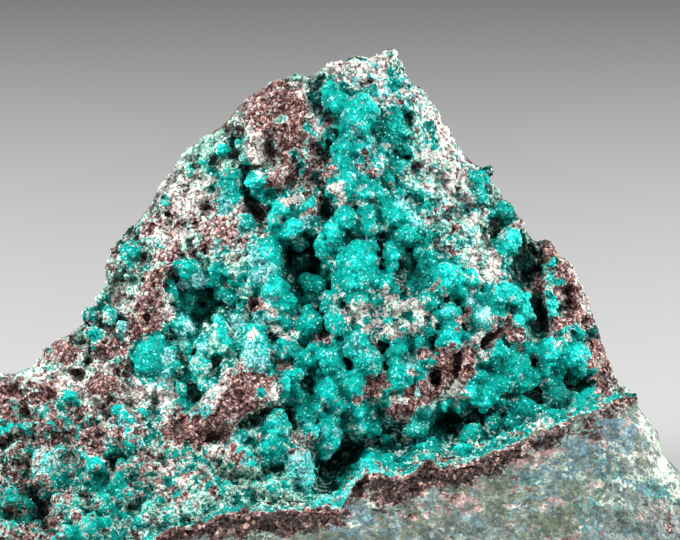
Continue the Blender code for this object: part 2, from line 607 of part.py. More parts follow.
def main():
    for thing in list(bpy.data.objects):
        bpy.data.objects.remove(thing, do_unlink=True)
    loops = [list(OUTLINE), resample(CRUST_EDGE, EDGE_POINT_SPACING, closed=True)]
    loops += [resample(window, EDGE_POINT_SPACING, closed=True) for window in CRUST_WINDOWS]
    lines = [shifted_rim(0.0), shifted_rim(-RIM_STEP)]
    fixed = [point for path in loops + lines for point in path]
    free = thin_out(face_points(), fixed, NEAREST_POINTS)[len(fixed):]
    corners, triangles = triangulate(loops, lines, free)
    triangles = faces_viewer(corners, triangles)
    make_matrix(corners, triangles)
    make_crust(corners, triangles)


main()
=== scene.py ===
"""Chrysocolla with brochantite: a sparkling teal crust in the hollow face of a brown gossan.

The face is a relief on a sheet that the viewer looks at: a place (x, y) on the sheet, in units of which
FACE_UNITS are FACE_WIDTH wide, and a depth towards the viewer in millimetres. The same named places as in the
CAD model are used, with finer features added. Each visible piece is a thick sheet of the relief, joined with
its balls by a voxel remesh and then roughened by noise.
"""
import math

import bpy
import bmesh
import numpy as np
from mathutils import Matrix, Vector, noise


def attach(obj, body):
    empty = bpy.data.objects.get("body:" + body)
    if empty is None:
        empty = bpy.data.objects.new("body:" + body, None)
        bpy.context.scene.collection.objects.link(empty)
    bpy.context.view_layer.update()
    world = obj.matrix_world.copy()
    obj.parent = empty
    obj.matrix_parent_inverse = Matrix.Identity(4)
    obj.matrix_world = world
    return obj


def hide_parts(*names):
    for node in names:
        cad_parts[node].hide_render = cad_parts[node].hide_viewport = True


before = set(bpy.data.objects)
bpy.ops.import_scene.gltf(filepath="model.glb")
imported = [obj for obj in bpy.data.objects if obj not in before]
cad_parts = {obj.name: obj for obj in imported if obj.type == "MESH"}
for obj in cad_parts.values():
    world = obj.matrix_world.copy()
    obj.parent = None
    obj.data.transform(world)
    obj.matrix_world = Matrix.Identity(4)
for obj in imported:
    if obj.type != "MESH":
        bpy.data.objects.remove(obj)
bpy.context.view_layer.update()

MM = 0.001
RANDOM_SEED = 11

# The sheet of the face, as in the CAD model
FACE_WIDTH = 0.050
FACE_UNITS = 680.0
FACE_CENTRE = (340.0, 270.0)
FACE_HEIGHT = 0.0201
FACE_SIDE = 0.002105
FACE_SETBACK = -0.000855
VIEW_TILT = math.radians(12.0)
EYE_DISTANCE = 0.260
SURFACE_SOFTNESS = 30.0
SURFACE_SMOOTHING = 1.0
EDGE_ROUNDING = 1.6
EDGE_ROUNDING_WIDTH = 20.0
BACK_ROUNDING_WIDTH = 78.0
ROCK_ROUGHNESS = 0.34
BACK_ROUGHNESS = 0.5
LEAST_THICKNESS = 1.0
FACET_SHARE = 0.85
FACET_TILT = 0.03
FACET_BLEND = 26.0
FACET_STEP = 14.0
RIM_STEP = 3.5
BALL_LIFT = 0.72

# Noise of the CAD model: size in sheet units, seed
ROCK_NOISE = (21.0, 3.1)
BACK_NOISE = (42.0, 8.7)
LEAN_NOISES = ((9.0, 1.3), (9.0, 5.9))

# Noise that makes drawn edges ragged: size and reach in sheet units, seed
GROUND_SHAKE = (16.0, 2.2, 5)
HOLE_SHAKE = (7.0, 2.8, 91)
LUMP_SHAKE = (9.0, 3.0, 71)
GAP_SHAKE = (4.5, 2.2, 79)
CRUST_SHAKE = (8.0, 3.0, 17)
SLAB_SHAKE = (9.0, 1.5, 23)
FRINGE_SHAKE = (6.0, 2.5, 89)
PATCH_SHAKES = ((22.0, 3.5, 61), (7.0, 2.6, 67))

# The sampled part of the sheet, in its units, and the voxels of the pieces in metres
GRID_STEP = 1.5
GRID_ACROSS = (-96.0, 722.0)
GRID_DOWN = (38.0, 662.0)
GRID_MARGIN = 12.0
OUTSIDE_DEPTH = -9.0
CRUST_VOXEL = 0.000115
ROCK_VOXEL = 0.000126
SLAB_VOXEL = 0.00016
FOOT_VOXEL = 0.00020
CORE_VOXEL = 0.00040

# The finish of the visible pieces, in mm where nothing else is said
SHEET_THICKNESS = 1.1
CREVICE_DEPTH = 0.3         # how far the gaps between the crust's balls lie below the CAD model's face
PORE_DEPTH = 0.3            # the same between the lumps of bare rock
HOLLOW_SHARE = 0.68         # of the CAD model's depth of the hollows
HOLE_EDGE = 0.95            # of the listed half widths
WALL_POWER = 6              # how sharply holes and knobs end
GAP_POWER = 5
CRACK_POWER = 8
GAP_SHARE = 0.8             # of the depths listed for the gaps between lumps
LUMP_SIZE = 13.0            # of broken rock, in sheet units
LUMP_RISE = 0.5
LUMP_GAP = 0.6
CRUST_LUMPINESS = 0.4       # of that of open rock
BROWN_LUMPINESS = 0.55
SOLID_BROWN = 0.55          # share of brown above which the rock is plain
RIM_START = 190.0           # left end of the slab's visible rim, in sheet units
RIM_STEP_DOWN = 0.22        # how far the crust starts below the slab's edge
RIM_FILLET = 0.10           # how steeply it falls away from there, in mm for each unit
HOLLOW_STEEPNESS = 2.4      # how much more steeply it falls into the main hollow
HOLLOW_EDGE = (0.6, 1.3)    # where that begins and ends, of the hollow's half widths
LOBE_THICKNESS = 0.9        # of a lobe's smaller half width
LOBE_SUNK = 0.40            # how much of its thickness a lobe's middle lies behind the balls around it
LOBE_SEAT = 0.35            # how far it may stand out from the bottom of a hollow
FINE_SHARE = 0.86           # of the listed radii of the crust's balls, which leaves room for their buds
LOWEST_POINT = -0.0012      # where sheets end below the base, in metres
CORE_INSET = 0.75           # how far the plain inner rock lies behind the visible sheets
CORE_LEAST = 0.4            # the least thickness of that rock
EDGE_KEPT = 9.0             # width of the outline's edge that is finished behind too, in sheet units
CORE_EDGE_KEPT = 16.0
FLOOR_KEPT = 0.0004         # height of the foot that is finished behind too, in metres
HIDDEN_SHARE = 0.04         # of the small faces that no one sees

# The hollow with a steep lower wall: x, y, half width, half height, turn
MAIN_HOLLOW = (334, 464, 26, 34, 25)

OUTLINE = (
    (-70, 655), (-84, 612), (-82, 566), (-90, 524), (-84, 486), (-72, 458), (-70, 432), (-52, 408),
    (-34, 396), (-16, 379), (0, 374), (15, 374), (30, 368), (42, 356), (56, 340), (66, 336), (75, 330),
    (86, 323), (89, 312), (98, 305), (100, 293), (105, 284), (107, 270), (109, 257), (114, 247),
    (121, 236), (131, 227), (139, 222), (147, 213), (151, 205), (156, 190), (168, 174), (181, 157),
    (193, 145), (203, 137), (211, 133), (220, 130), (229, 118), (238, 108), (252, 95), (262, 89),
    (273, 80), (288, 77), (297, 73), (304, 76), (316, 76), (324, 68), (333, 63), (346, 61), (356, 54),
    (366, 58), (376, 56), (386, 49), (392, 47), (397, 51), (403, 65), (405, 73), (413, 84), (422, 90),
    (431, 101), (437, 111), (441, 120), (450, 129), (454, 140), (461, 152), (470, 162), (481, 167),
    (490, 171), (491, 183), (500, 191), (503, 200), (511, 209), (519, 217), (526, 230), (533, 241),
    (545, 239), (555, 247), (558, 257), (565, 258), (573, 267), (581, 285), (588, 296), (591, 312),
    (598, 328), (602, 343), (610, 362), (616, 377), (619, 386), (627, 387), (634, 397), (640, 408),
    (648, 420), (658, 434), (659, 446), (667, 459), (680, 471), (694, 480), (704, 498), (706, 524),
    (715, 548), (711, 590), (702, 624), (704, 655),
)
HOLLOW_DEPTHS = (
    (340, 60, -0.6), (392, 50, -1.2), (300, 80, -0.4), (250, 100, -1.0), (220, 135, -1.3),
    (350, 118, 0.5), (355, 165, 0.4), (280, 130, 0.0), (290, 180, -0.3), (420, 120, -1.2),
    (460, 170, -1.8), (490, 190, -2.2), (520, 230, -2.8), (550, 250, -3.2), (575, 275, -3.6),
    (590, 310, -3.6), (605, 350, -3.0), (620, 392, -2.0), (170, 180, -1.6), (130, 235, -1.4),
    (105, 290, -0.6), (90, 320, 0.2), (50, 350, 1.2), (0, 375, 2.2), (-45, 415, 2.6), (-85, 490, 2.6),
    (200, 200, -0.2), (160, 260, 0.6), (140, 310, 1.2), (110, 350, 1.7), (60, 385, 2.7), (20, 400, 3.2),
    (200, 300, -0.8), (250, 270, 1.2), (250, 345, 2.2), (238, 395, 3.3), (290, 330, 0.8), (350, 270, 1.3),
    (340, 330, 1.4), (350, 385, 1.7), (330, 430, 1.6), (450, 280, 1.5), (450, 215, -0.2), (485, 320, 1.1),
    (400, 340, 1.4), (425, 395, 1.6), (495, 360, 0.7), (555, 355, 0.0), (590, 368, -1.0), (490, 395, 0.6),
    (520, 412, -1.6), (575, 395, -2.4), (462, 438, -1.2), (405, 448, 0.0), (335, 470, -0.8),
    (388, 468, -0.8), (150, 400, 3.0), (100, 430, 4.4), (200, 450, 4.3), (250, 445, 3.9), (270, 490, 4.2),
    (300, 478, 4.0), (150, 490, 5.6), (60, 480, 6.0), (10, 510, 7.2), (100, 535, 8.0), (215, 500, 5.4),
    (30, 600, 9.4), (-75, 600, 5.5), (150, 600, 10.0), (40, 650, 10.0),
)
SLAB_DEPTHS = (
    (165, 530, 8.0), (230, 514, 7.0), (313, 510, 6.2), (362, 480, 4.8), (430, 462, 3.6), (500, 452, 3.0),
    (560, 430, 2.3), (610, 405, 1.2), (638, 412, 0.4), (340, 532, 8.6), (450, 515, 6.9), (550, 495, 5.2),
    (620, 465, 3.4), (660, 495, 3.4), (590, 545, 7.4), (500, 560, 9.0), (680, 560, 4.6), (200, 600, 10.4),
    (350, 600, 10.8), (500, 605, 10.2), (640, 600, 7.6), (350, 650, 11.0), (600, 650, 9.0),
    (715, 600, 3.0),
)
RIM = (
    (150, 540), (170, 529), (200, 524), (227, 511), (261, 511), (286, 511), (313, 508), (344, 507),
    (353, 488), (368, 473), (384, 475), (400, 478), (415, 470), (429, 456), (440, 467), (460, 464),
    (480, 458), (500, 450), (520, 440), (540, 430), (556, 425), (580, 415), (600, 407), (616, 399),
    (634, 397),
)
SLAB_AREA = RIM + ((760, 380), (760, 700), (150, 700))
BACK_DEPTHS = (
    (360, 60, -5.5), (300, 90, -7.5), (430, 110, -7.0), (230, 150, -8.5), (500, 200, -8.5),
    (345, 165, -12.5), (200, 250, -11.0), (560, 270, -9.5), (420, 245, -14.0), (290, 300, -16.5),
    (120, 320, -9.0), (600, 370, -10.5), (200, 390, -14.0), (450, 365, -17.5), (40, 410, -6.5),
    (330, 440, -18.5), (560, 460, -14.5), (690, 520, -9.0), (-60, 470, -8.0), (150, 500, -15.0),
    (450, 520, -18.5), (0, 600, -12.0), (330, 620, -19.0), (650, 620, -12.0),
)
BACK_OUTLINE = (
    (-88, 660), (-92, 500), (-60, 410), (50, 345), (100, 285), (150, 200), (215, 122), (290, 66),
    (395, 44), (435, 105), (500, 185), (560, 250), (600, 330), (650, 415), (712, 500), (712, 660),
)
BACK_FACETS = (
    (345, 85), (390, 70), (285, 115), (435, 140), (240, 160), (340, 165), (185, 215), (490, 215),
    (400, 240), (290, 260), (150, 265), (540, 280), (215, 330), (340, 350), (455, 330), (125, 330),
    (585, 350), (60, 380), (160, 410), (270, 430), (395, 440), (510, 420), (620, 420), (-15, 420),
    (80, 450), (200, 500), (330, 520), (455, 520), (570, 490), (655, 480), (-55, 480), (20, 520),
    (690, 550),
)

# Hollows: x, y, half width, half height, turn in degrees, depth in mm
HOLES = (
    (302, 262, 18, 29, 12, 3.6), (250, 194, 7, 25, -22, 1.6), (262, 212, 15, 7, 0, 1.3),
    (268, 150, 6, 14, 0, 0.9), (327, 207, 7, 13, 0, 1.4), (353, 223, 7, 12, 15, 1.4),
    (381, 255, 5, 15, 0, 1.4), (407, 262, 12, 20, 15, 1.8), (492, 231, 6, 12, -20, 1.0),
    (529, 268, 14, 24, 12, 2.4), (537, 312, 9, 24, 0, 2.2), (436, 378, 6, 10, 0, 1.6),
    (341, 474, 27, 29, 22, 3.8), (391, 466, 9, 8, 0, 1.6), (449, 424, 13, 11, 0, 1.8),
    (505, 430, 7, 12, 0, 1.2), (572, 395, 30, 11, -12, 1.3), (210, 302, 26, 15, 0, 2.0),
    (195, 392, 13, 10, 0, 1.7), (259, 420, 27, 7, -30, 2.0), (291, 422, 7, 17, 0, 1.6),
    (274, 471, 15, 7, -12, 1.3), (40, 503, 13, 17, 0, 2.2), (306, 386, 7, 12, 0, 1.2),
    (386, 357, 7, 12, 0, 1.2), (487, 340, 17, 5, -36, 1.8), (457, 366, 4, 18, 6, 1.4),
    (76, 375, 9, 6, 30, 1.1), (62, 440, 18, 8, -20, 1.3), (116, 467, 10, 9, 0, 1.2),
    (322, 322, 6, 16, 0, 1.0),
)
SMALL_HOLES = (
    (233, 147, 4, 12, 12, 0.7), (410, 120, 6, 6, 0, 0.7), (415, 165, 5, 5, 0, 0.7),
    (420, 180, 5, 5, 0, 0.6), (370, 170, 4, 4, 0, 0.8), (205, 207, 7, 5, 0, 0.8),
    (258, 304, 7, 7, 0, 0.7), (348, 366, 5, 7, 0, 0.9), (177, 276, 4, 10, 0, 0.9),
    (216, 364, 6, 11, 0, 0.9), (200, 318, 9, 7, 0, 0.9), (126, 378, 5, 10, 0, 0.9),
    (156, 400, 5, 6, 0, 0.7), (89, 362, 5, 6, 0, 0.7), (138, 432, 6, 9, 35, 0.7), (82, 343, 5, 5, 0, 0.6),
    (215, 436, 11, 5, -15, 0.9), (175, 423, 6, 5, 0, 0.8), (150, 318, 7, 8, -30, 0.6),
    (118, 276, 7, 4, 0, 0.6), (143, 258, 5, 12, 0, 0.9), (163, 462, 6, 6, 0, 0.7),
    (190, 472, 6, 4, 0, 0.7), (130, 505, 12, 4, -18, 0.9), (90, 497, 14, 4, 0, 0.8),
    (22, 440, 20, 5, 0, 0.9), (330, 352, 7, 3, 25, 0.5), (260, 372, 12, 5, -15, 1.0),
    (500, 412, 10, 6, -20, 0.9), (470, 420, 6, 5, -20, 0.9), (412, 440, 12, 4, 0, 0.8),
    (396, 428, 12, 6, 0, 0.7), (300, 398, 8, 10, 0, 0.5), (341, 410, 4, 5, 0, 0.6),
    (462, 326, 5, 10, 0, 0.8), (436, 344, 4, 8, 0, 0.7), (450, 300, 9, 4, 20, 0.6),
    (402, 290, 4, 8, 0, 0.6), (534, 367, 4, 12, 10, 0.9), (588, 348, 4, 9, 0, 0.8),
    (565, 290, 10, 6, -20, 1.2), (568, 308, 8, 9, 0, 1.2), (585, 323, 6, 5, 0, 0.9),
    (512, 310, 6, 5, 0, 0.8), (555, 372, 4, 3, 0, 0.6), (476, 395, 7, 4, -40, 0.7),
    (505, 392, 6, 4, 0, 0.6), (70, 461, 8, 8, 0, 0.9), (55, 470, 6, 7, 0, 0.7), (20, 488, 8, 9, 0, 0.9),
    (95, 446, 9, 4, 0, 0.6), (238, 350, 6, 8, 0, 0.8), (176, 340, 8, 5, 0, 0.8), (270, 340, 6, 9, 0, 0.9),
    (244, 318, 8, 6, 0, 0.8), (286, 262, 5, 9, 0, 0.9), (330, 278, 6, 12, 0, 0.9),
    (330, 290, 6, 6, 0, 0.6), (378, 344, 6, 4, 0, 0.6), (410, 352, 4, 4, 0, 0.6),
)
KNOBS = (
    (276, 112, 30, 30, 0, 0.5), (255, 148, 12, 17, 0, 0.7), (275, 178, 11, 10, 0, 0.6),
    (370, 163, 15, 14, 0, 0.6), (240, 396, 42, 22, -24, 1.3), (403, 409, 14, 11, 0, 0.9),
    (517, 334, 11, 7, 0, 0.9), (166, 256, 15, 19, 30, 0.6), (64, 352, 14, 9, -30, 0.6),
    (105, 384, 12, 10, 0, 0.6), (566, 324, 17, 8, -30, 0.7), (548, 250, 9, 11, 0, 0.7),
    (571, 277, 11, 15, -30, 0.7), (222, 350, 18, 5, -28, 0.8), (120, 358, 24, 5, -34, 0.6),
    (465, 370, 10, 24, 10, 0.6),
)

# Ribs and small lumps of bare rock
SMALL_KNOBS = (
    (310, 208, 8, 7, 20, 0.6), (335, 190, 9, 7, 0, 0.6), (88, 392, 16, 4, 38, 0.6),
    (117, 382, 3, 12, -25, 0.4), (88, 407, 8, 7, 0, 0.5), (50, 423, 16, 5, -20, 0.6),
    (90, 455, 16, 4, -8, 0.5), (241, 458, 15, 12, 0, 0.4), (185, 245, 5, 16, -25, 0.5),
    (150, 300, 12, 26, 10, 0.4), (429, 460, 6, 9, 0, 0.5), (372, 477, 14, 6, 10, 0.4),
    (505, 452, 18, 5, -20, 0.4), (545, 435, 22, 6, -20, 0.5), (596, 349, 9, 14, 10, 0.5),
    (612, 378, 7, 14, 0, 0.4), (425, 385, 8, 7, 0, 0.4), (480, 335, 14, 4, -36, 0.4),
    (220, 425, 20, 8, -20, 0.4), (36, 386, 7, 8, -40, 0.5), (150, 388, 10, 10, 0, 0.4),
    (225, 452, 12, 8, 0, 0.3), (165, 465, 14, 9, 0, 0.4), (8, 405, 14, 14, 0, 0.5),
)

# Balls and lobes of the crust: x, y, radius in sheet units
CRUST_BALLS = (
    # summit and upper face
    (355, 118, 16), (340, 100, 10), (362, 101, 10), (352, 181, 18), (370, 190, 11), (339, 165, 9),
    (373, 172, 8), (346, 217, 12), (335, 232, 12), (323, 245, 11), (369, 213, 9), (371, 230, 9),
    (395, 215, 12), (405, 234, 11), (352, 262, 17), (362, 281, 17), (357, 298, 13), (391, 254, 10),
    (257, 180, 11), (281, 209, 10), (292, 228, 10),
    # left of the middle
    (258, 274, 12), (270, 289, 13), (287, 302, 11), (264, 254, 9), (311, 284, 11), (310, 322, 14),
    (331, 303, 11), (338, 322, 14), (285, 350, 13), (303, 358, 11), (254, 334, 12), (256, 360, 15),
    (238, 321, 10), (219, 331, 12), (204, 346, 11), (182, 328, 12), (196, 279, 10), (184, 268, 10),
    (229, 297, 10), (200, 371, 11), (167, 356, 10), (149, 350, 12), (148, 369, 12), (165, 374, 10),
    # middle
    (356, 338, 12), (367, 361, 16), (331, 363, 13), (327, 393, 13), (352, 386, 13), (358, 412, 10),
    (326, 424, 13), (325, 445, 13), (372, 429, 10), (398, 350, 10), (400, 377, 14), (303, 397, 9),
    (413, 428, 12), (340, 405, 10),
    # right
    (450, 280, 18), (471, 279, 10), (430, 300, 10), (447, 313, 10), (449, 336, 12), (482, 319, 13),
    (493, 297, 12), (511, 295, 12), (524, 314, 11), (496, 352, 11), (515, 365, 15), (547, 351, 14),
    (572, 356, 14), (530, 377, 13), (485, 394, 15), (505, 382, 12), (551, 381, 12), (591, 366, 9),
    # lower pocket
    (521, 410, 15), (556, 399, 12), (470, 440, 14), (491, 425, 11), (590, 396, 9), (398, 448, 10),
    (405, 462, 9), (367, 463, 9), (347, 486, 9), (430, 448, 9),
    # lower left
    (300, 466, 13), (302, 482, 11), (241, 459, 15), (275, 490, 14), (225, 492, 13), (190, 510, 13),
    (168, 516, 12), (240, 437, 9), (103, 502, 11), (68, 505, 13), (126, 470, 12), (126, 495, 11),
    (95, 465, 11), (131, 441, 10), (46, 462, 13), (125, 420, 11), (85, 528, 13), (270, 426, 9),
)
SMALL_CRUST_BALLS = (
    (381, 196, 8), (389, 180, 7), (385, 95, 6), (362, 150, 8), (345, 148, 7), (352, 135, 8),
    (368, 140, 7), (372, 245, 7), (393, 265, 8), (384, 284, 8), (344, 280, 9), (373, 301, 8),
    (372, 262, 9), (340, 296, 7), (299, 241, 8), (274, 222, 6), (266, 232, 5), (253, 252, 7),
    (246, 262, 6), (268, 307, 6), (276, 316, 7), (250, 290, 7), (273, 270, 6), (283, 285, 6),
    (285, 322, 7), (296, 337, 7), (316, 347, 7), (310, 362, 7), (292, 375, 8), (285, 383, 7),
    (350, 352, 8), (343, 376, 8), (335, 345, 7), (325, 350, 7), (346, 395, 7), (338, 433, 6),
    (357, 436, 6), (350, 426, 7), (364, 423, 7), (318, 408, 7), (308, 428, 7), (385, 440, 7),
    (396, 365, 8), (389, 390, 5), (412, 370, 7), (420, 392, 5), (392, 335, 6), (405, 330, 6),
    (418, 322, 7), (412, 305, 7), (396, 308, 6), (380, 300, 6), (367, 318, 6), (388, 322, 6),
    (420, 340, 6), (430, 330, 7), (425, 312, 5), (436, 316, 5), (468, 302, 6), (478, 296, 6),
    (503, 287, 7), (521, 298, 7), (518, 325, 6), (465, 335, 6), (457, 345, 6), (476, 340, 5),
    (483, 357, 6), (530, 348, 8), (560, 342, 7), (583, 350, 7), (560, 368, 9), (580, 371, 8),
    (545, 367, 8), (505, 352, 6), (500, 366, 7), (480, 376, 8), (470, 390, 7), (500, 402, 9),
    (517, 390, 8), (574, 381, 6), (597, 392, 5), (571, 411, 7), (582, 405, 6), (535, 428, 8),
    (545, 422, 6), (462, 427, 8), (497, 436, 6), (480, 445, 7), (455, 447, 6), (446, 403, 6),
    (458, 408, 6), (425, 415, 7), (432, 405, 6), (380, 452, 7), (391, 472, 6), (355, 475, 7),
    (338, 492, 7), (322, 494, 6), (311, 497, 7), (297, 452, 7), (289, 470, 6), (262, 450, 6),
    (256, 435, 7), (278, 416, 8), (281, 431, 6), (268, 444, 6), (255, 470, 6), (228, 460, 6),
    (259, 490, 7), (285, 480, 7), (290, 495, 7), (240, 497, 7), (212, 484, 9), (204, 500, 8),
    (180, 500, 9), (176, 485, 7), (160, 500, 8), (150, 512, 9), (140, 522, 8), (182, 390, 7),
    (205, 385, 7), (193, 361, 6), (176, 366, 7), (187, 350, 7), (163, 387, 6), (158, 340, 6),
    (135, 358, 6), (163, 326, 6), (172, 291, 8), (177, 305, 7), (214, 282, 8), (206, 278, 5),
    (232, 282, 6), (193, 299, 12), (205, 312, 9), (222, 312, 7), (218, 296, 7), (240, 308, 6),
    (186, 313, 6), (224, 340, 8), (204, 352, 7), (233, 352, 6), (243, 345, 6), (262, 348, 7),
    (245, 368, 8), (268, 368, 6), (215, 269, 7), (228, 270, 6), (240, 275, 6), (143, 413, 7),
    (130, 428, 8), (112, 430, 7), (144, 431, 6), (105, 420, 6), (72, 470, 8), (85, 476, 6), (33, 483, 7),
    (35, 437, 8), (58, 500, 8), (78, 516, 8), (105, 525, 9), (62, 535, 9), (118, 485, 8), (108, 475, 7),
    (145, 470, 7), (60, 450, 7), (45, 478, 8),
)
ROCK_BALLS = (
    (400, 81, 9), (480, 180, 10), (482, 195, 8), (504, 212, 11), (508, 244, 13), (130, 252, 10),
    (116, 266, 11), (92, 316, 9), (92, 333, 9), (103, 300, 8), (222, 147, 8), (110, 318, 8),
    (300, 100, 8), (335, 69, 8),
)
SMALL_ROCK_BALLS = (
    (488, 172, 6), (470, 176, 5), (490, 186, 5), (515, 226, 9), (498, 205, 6), (512, 236, 8),
    (500, 254, 7), (385, 94, 7), (376, 80, 6), (412, 100, 5), (392, 70, 5), (366, 78, 6), (352, 74, 6),
    (330, 88, 6), (122, 328, 6), (114, 253, 6), (139, 246, 6), (124, 262, 7), (108, 310, 6), (85, 322, 5),
    (100, 335, 6), (95, 345, 5), (65, 342, 6), (75, 337, 6), (48, 352, 5), (30, 385, 6), (62, 392, 5),
    (72, 397, 8), (60, 403, 6), (28, 398, 5), (20, 380, 6), (550, 263, 5), (544, 265, 4), (549, 278, 5),
    (559, 284, 6), (551, 305, 7), (553, 314, 5), (580, 335, 8), (593, 333, 6), (575, 328, 5),
    (546, 292, 4), (589, 303, 5), (20, 450, 8), (14, 428, 7), (28, 425, 7), (2, 433, 6), (12, 492, 6),
    (10, 528, 9), (212, 178, 5), (232, 165, 5), (205, 160, 6), (190, 172, 5), (240, 145, 5),
    (178, 192, 5), (165, 205, 6), (152, 222, 5), (186, 215, 5),
)
CRUST_EDGE = (
    (326, 92), (350, 84), (374, 90), (382, 112), (376, 140), (392, 168), (404, 200), (420, 228),
    (434, 252), (458, 255), (480, 268), (494, 282), (520, 282), (536, 300), (536, 322), (548, 336),
    (582, 338), (600, 356), (603, 378), (596, 401), (574, 409), (552, 419), (532, 427), (514, 436),
    (496, 444), (476, 452), (458, 456), (444, 458), (428, 447), (411, 464), (398, 470), (383, 467),
    (364, 465), (347, 480), (338, 499), (312, 500), (284, 503), (256, 503), (226, 503), (198, 516),
    (172, 521), (148, 532), (110, 545), (70, 542), (50, 520), (46, 492), (30, 474), (34, 448), (58, 446),
    (82, 452), (104, 440), (112, 414), (128, 402), (150, 406), (160, 386), (136, 386), (130, 364),
    (136, 342), (156, 332), (172, 312), (166, 282), (172, 260), (196, 258), (222, 264), (240, 262),
    (248, 244), (268, 236), (270, 214), (246, 200), (242, 178), (254, 166), (272, 170), (286, 192),
    (302, 206), (322, 206), (330, 188), (326, 160), (338, 138), (332, 112),
)
CRUST_WINDOWS = (
    ((222, 372), (240, 376), (262, 384), (282, 388), (282, 402), (262, 412), (238, 420), (226, 436),
     (204, 446), (180, 440), (176, 420), (200, 408), (216, 398)),
    ((388, 402), (402, 396), (418, 392), (430, 370), (438, 356), (462, 348), (474, 346), (480, 356),
     (470, 376), (462, 392), (446, 400), (424, 406), (410, 416), (392, 420)),
    ((505, 330), (516, 326), (528, 331), (526, 341), (512, 343)),
)

# Long lobes of the crust: x, y, half width, half height, turn
LOBES = (
    (332, 240, 11, 24, 30), (359, 270, 19, 31, 0), (350, 186, 12, 17, 15), (364, 194, 9, 12, 20),
    (381, 198, 8, 9, 0), (403, 217, 30, 11, 36), (368, 222, 10, 17, 5), (391, 256, 8, 17, 8),
    (421, 254, 9, 9, 0), (447, 277, 15, 14, 0), (314, 284, 10, 10, 0), (381, 278, 8, 8, 0),
    (344, 159, 12, 9, 0), (398, 168, 14, 10, 0), (414, 190, 17, 9, 25), (358, 110, 20, 15, 0),
    (392, 127, 14, 17, 20), (330, 98, 9, 13, 20), (340, 147, 9, 13, 40), (229, 296, 8, 14, -45),
    (220, 331, 10, 14, 0), (203, 345, 7, 12, 0), (284, 349, 16, 12, -15), (198, 366, 8, 12, 0),
    (311, 322, 10, 12, 0), (522, 308, 9, 15, 0), (556, 398, 15, 15, 0), (521, 410, 16, 15, 0),
    (398, 348, 8, 13, 0), (270, 290, 13, 19, 0), (256, 352, 15, 21, 0), (183, 328, 11, 14, 0),
    (185, 266, 10, 10, 0), (196, 281, 9, 9, 0), (214, 278, 9, 8, 0), (150, 358, 15, 19, -20),
    (337, 321, 13, 14, 0), (356, 341, 13, 12, 0), (367, 361, 16, 16, 0), (331, 363, 13, 13, 0),
    (352, 386, 14, 14, 0), (401, 376, 13, 15, 0), (451, 325, 11, 24, 0), (483, 319, 13, 16, 0),
    (497, 296, 25, 10, -8), (326, 392, 13, 13, 0), (326, 436, 16, 19, 0), (300, 474, 14, 20, 0),
    (515, 366, 17, 14, 0), (547, 351, 14, 13, 0), (576, 356, 15, 14, 0), (493, 386, 22, 12, -20),
    (470, 438, 12, 16, 20), (493, 427, 9, 15, 15), (280, 422, 9, 12, 0), (240, 459, 15, 13, 0),
    (228, 185, 13, 20, 20), (245, 222, 12, 10, 0), (257, 180, 11, 11, 0), (281, 210, 10, 13, 0),
    (293, 229, 10, 10, 0), (268, 262, 12, 12, 0), (430, 300, 11, 10, 0), (418, 428, 12, 11, 0),
    (545, 423, 22, 6, -22), (583, 400, 14, 8, -20), (524, 382, 14, 10, 0), (132, 441, 11, 11, 0),
    (44, 462, 14, 14, 0), (68, 506, 14, 13, 0), (482, 450, 13, 7, -15), (503, 440, 14, 7, -25),
    (528, 431, 14, 7, -22), (556, 418, 15, 8, -20), (578, 409, 13, 8, -18), (590, 396, 9, 9, 0),
    (462, 452, 11, 8, 0), (512, 424, 10, 9, -20), (540, 412, 10, 8, 0), (189, 300, 9, 10, 0),
    (202, 295, 10, 8, 0), (213, 306, 8, 9, 0), (198, 313, 10, 7, 0), (362, 479, 9, 12, 20),
    (408, 262, 7, 9, 0), (356, 228, 6, 9, 0), (303, 262, 12, 13, 0), (299, 243, 9, 10, 0),
    (306, 281, 9, 9, 0), (527, 262, 10, 12, 0), (24, 506, 12, 10, 0), (44, 494, 8, 8, 0),
    (334, 190, 9, 8, 20), (341, 201, 6, 5, 0), (334, 69, 9, 8, 0), (275, 178, 11, 11, 0),
    (253, 150, 12, 17, 0), (402, 408, 14, 11, 0), (517, 334, 11, 7, 0),
)

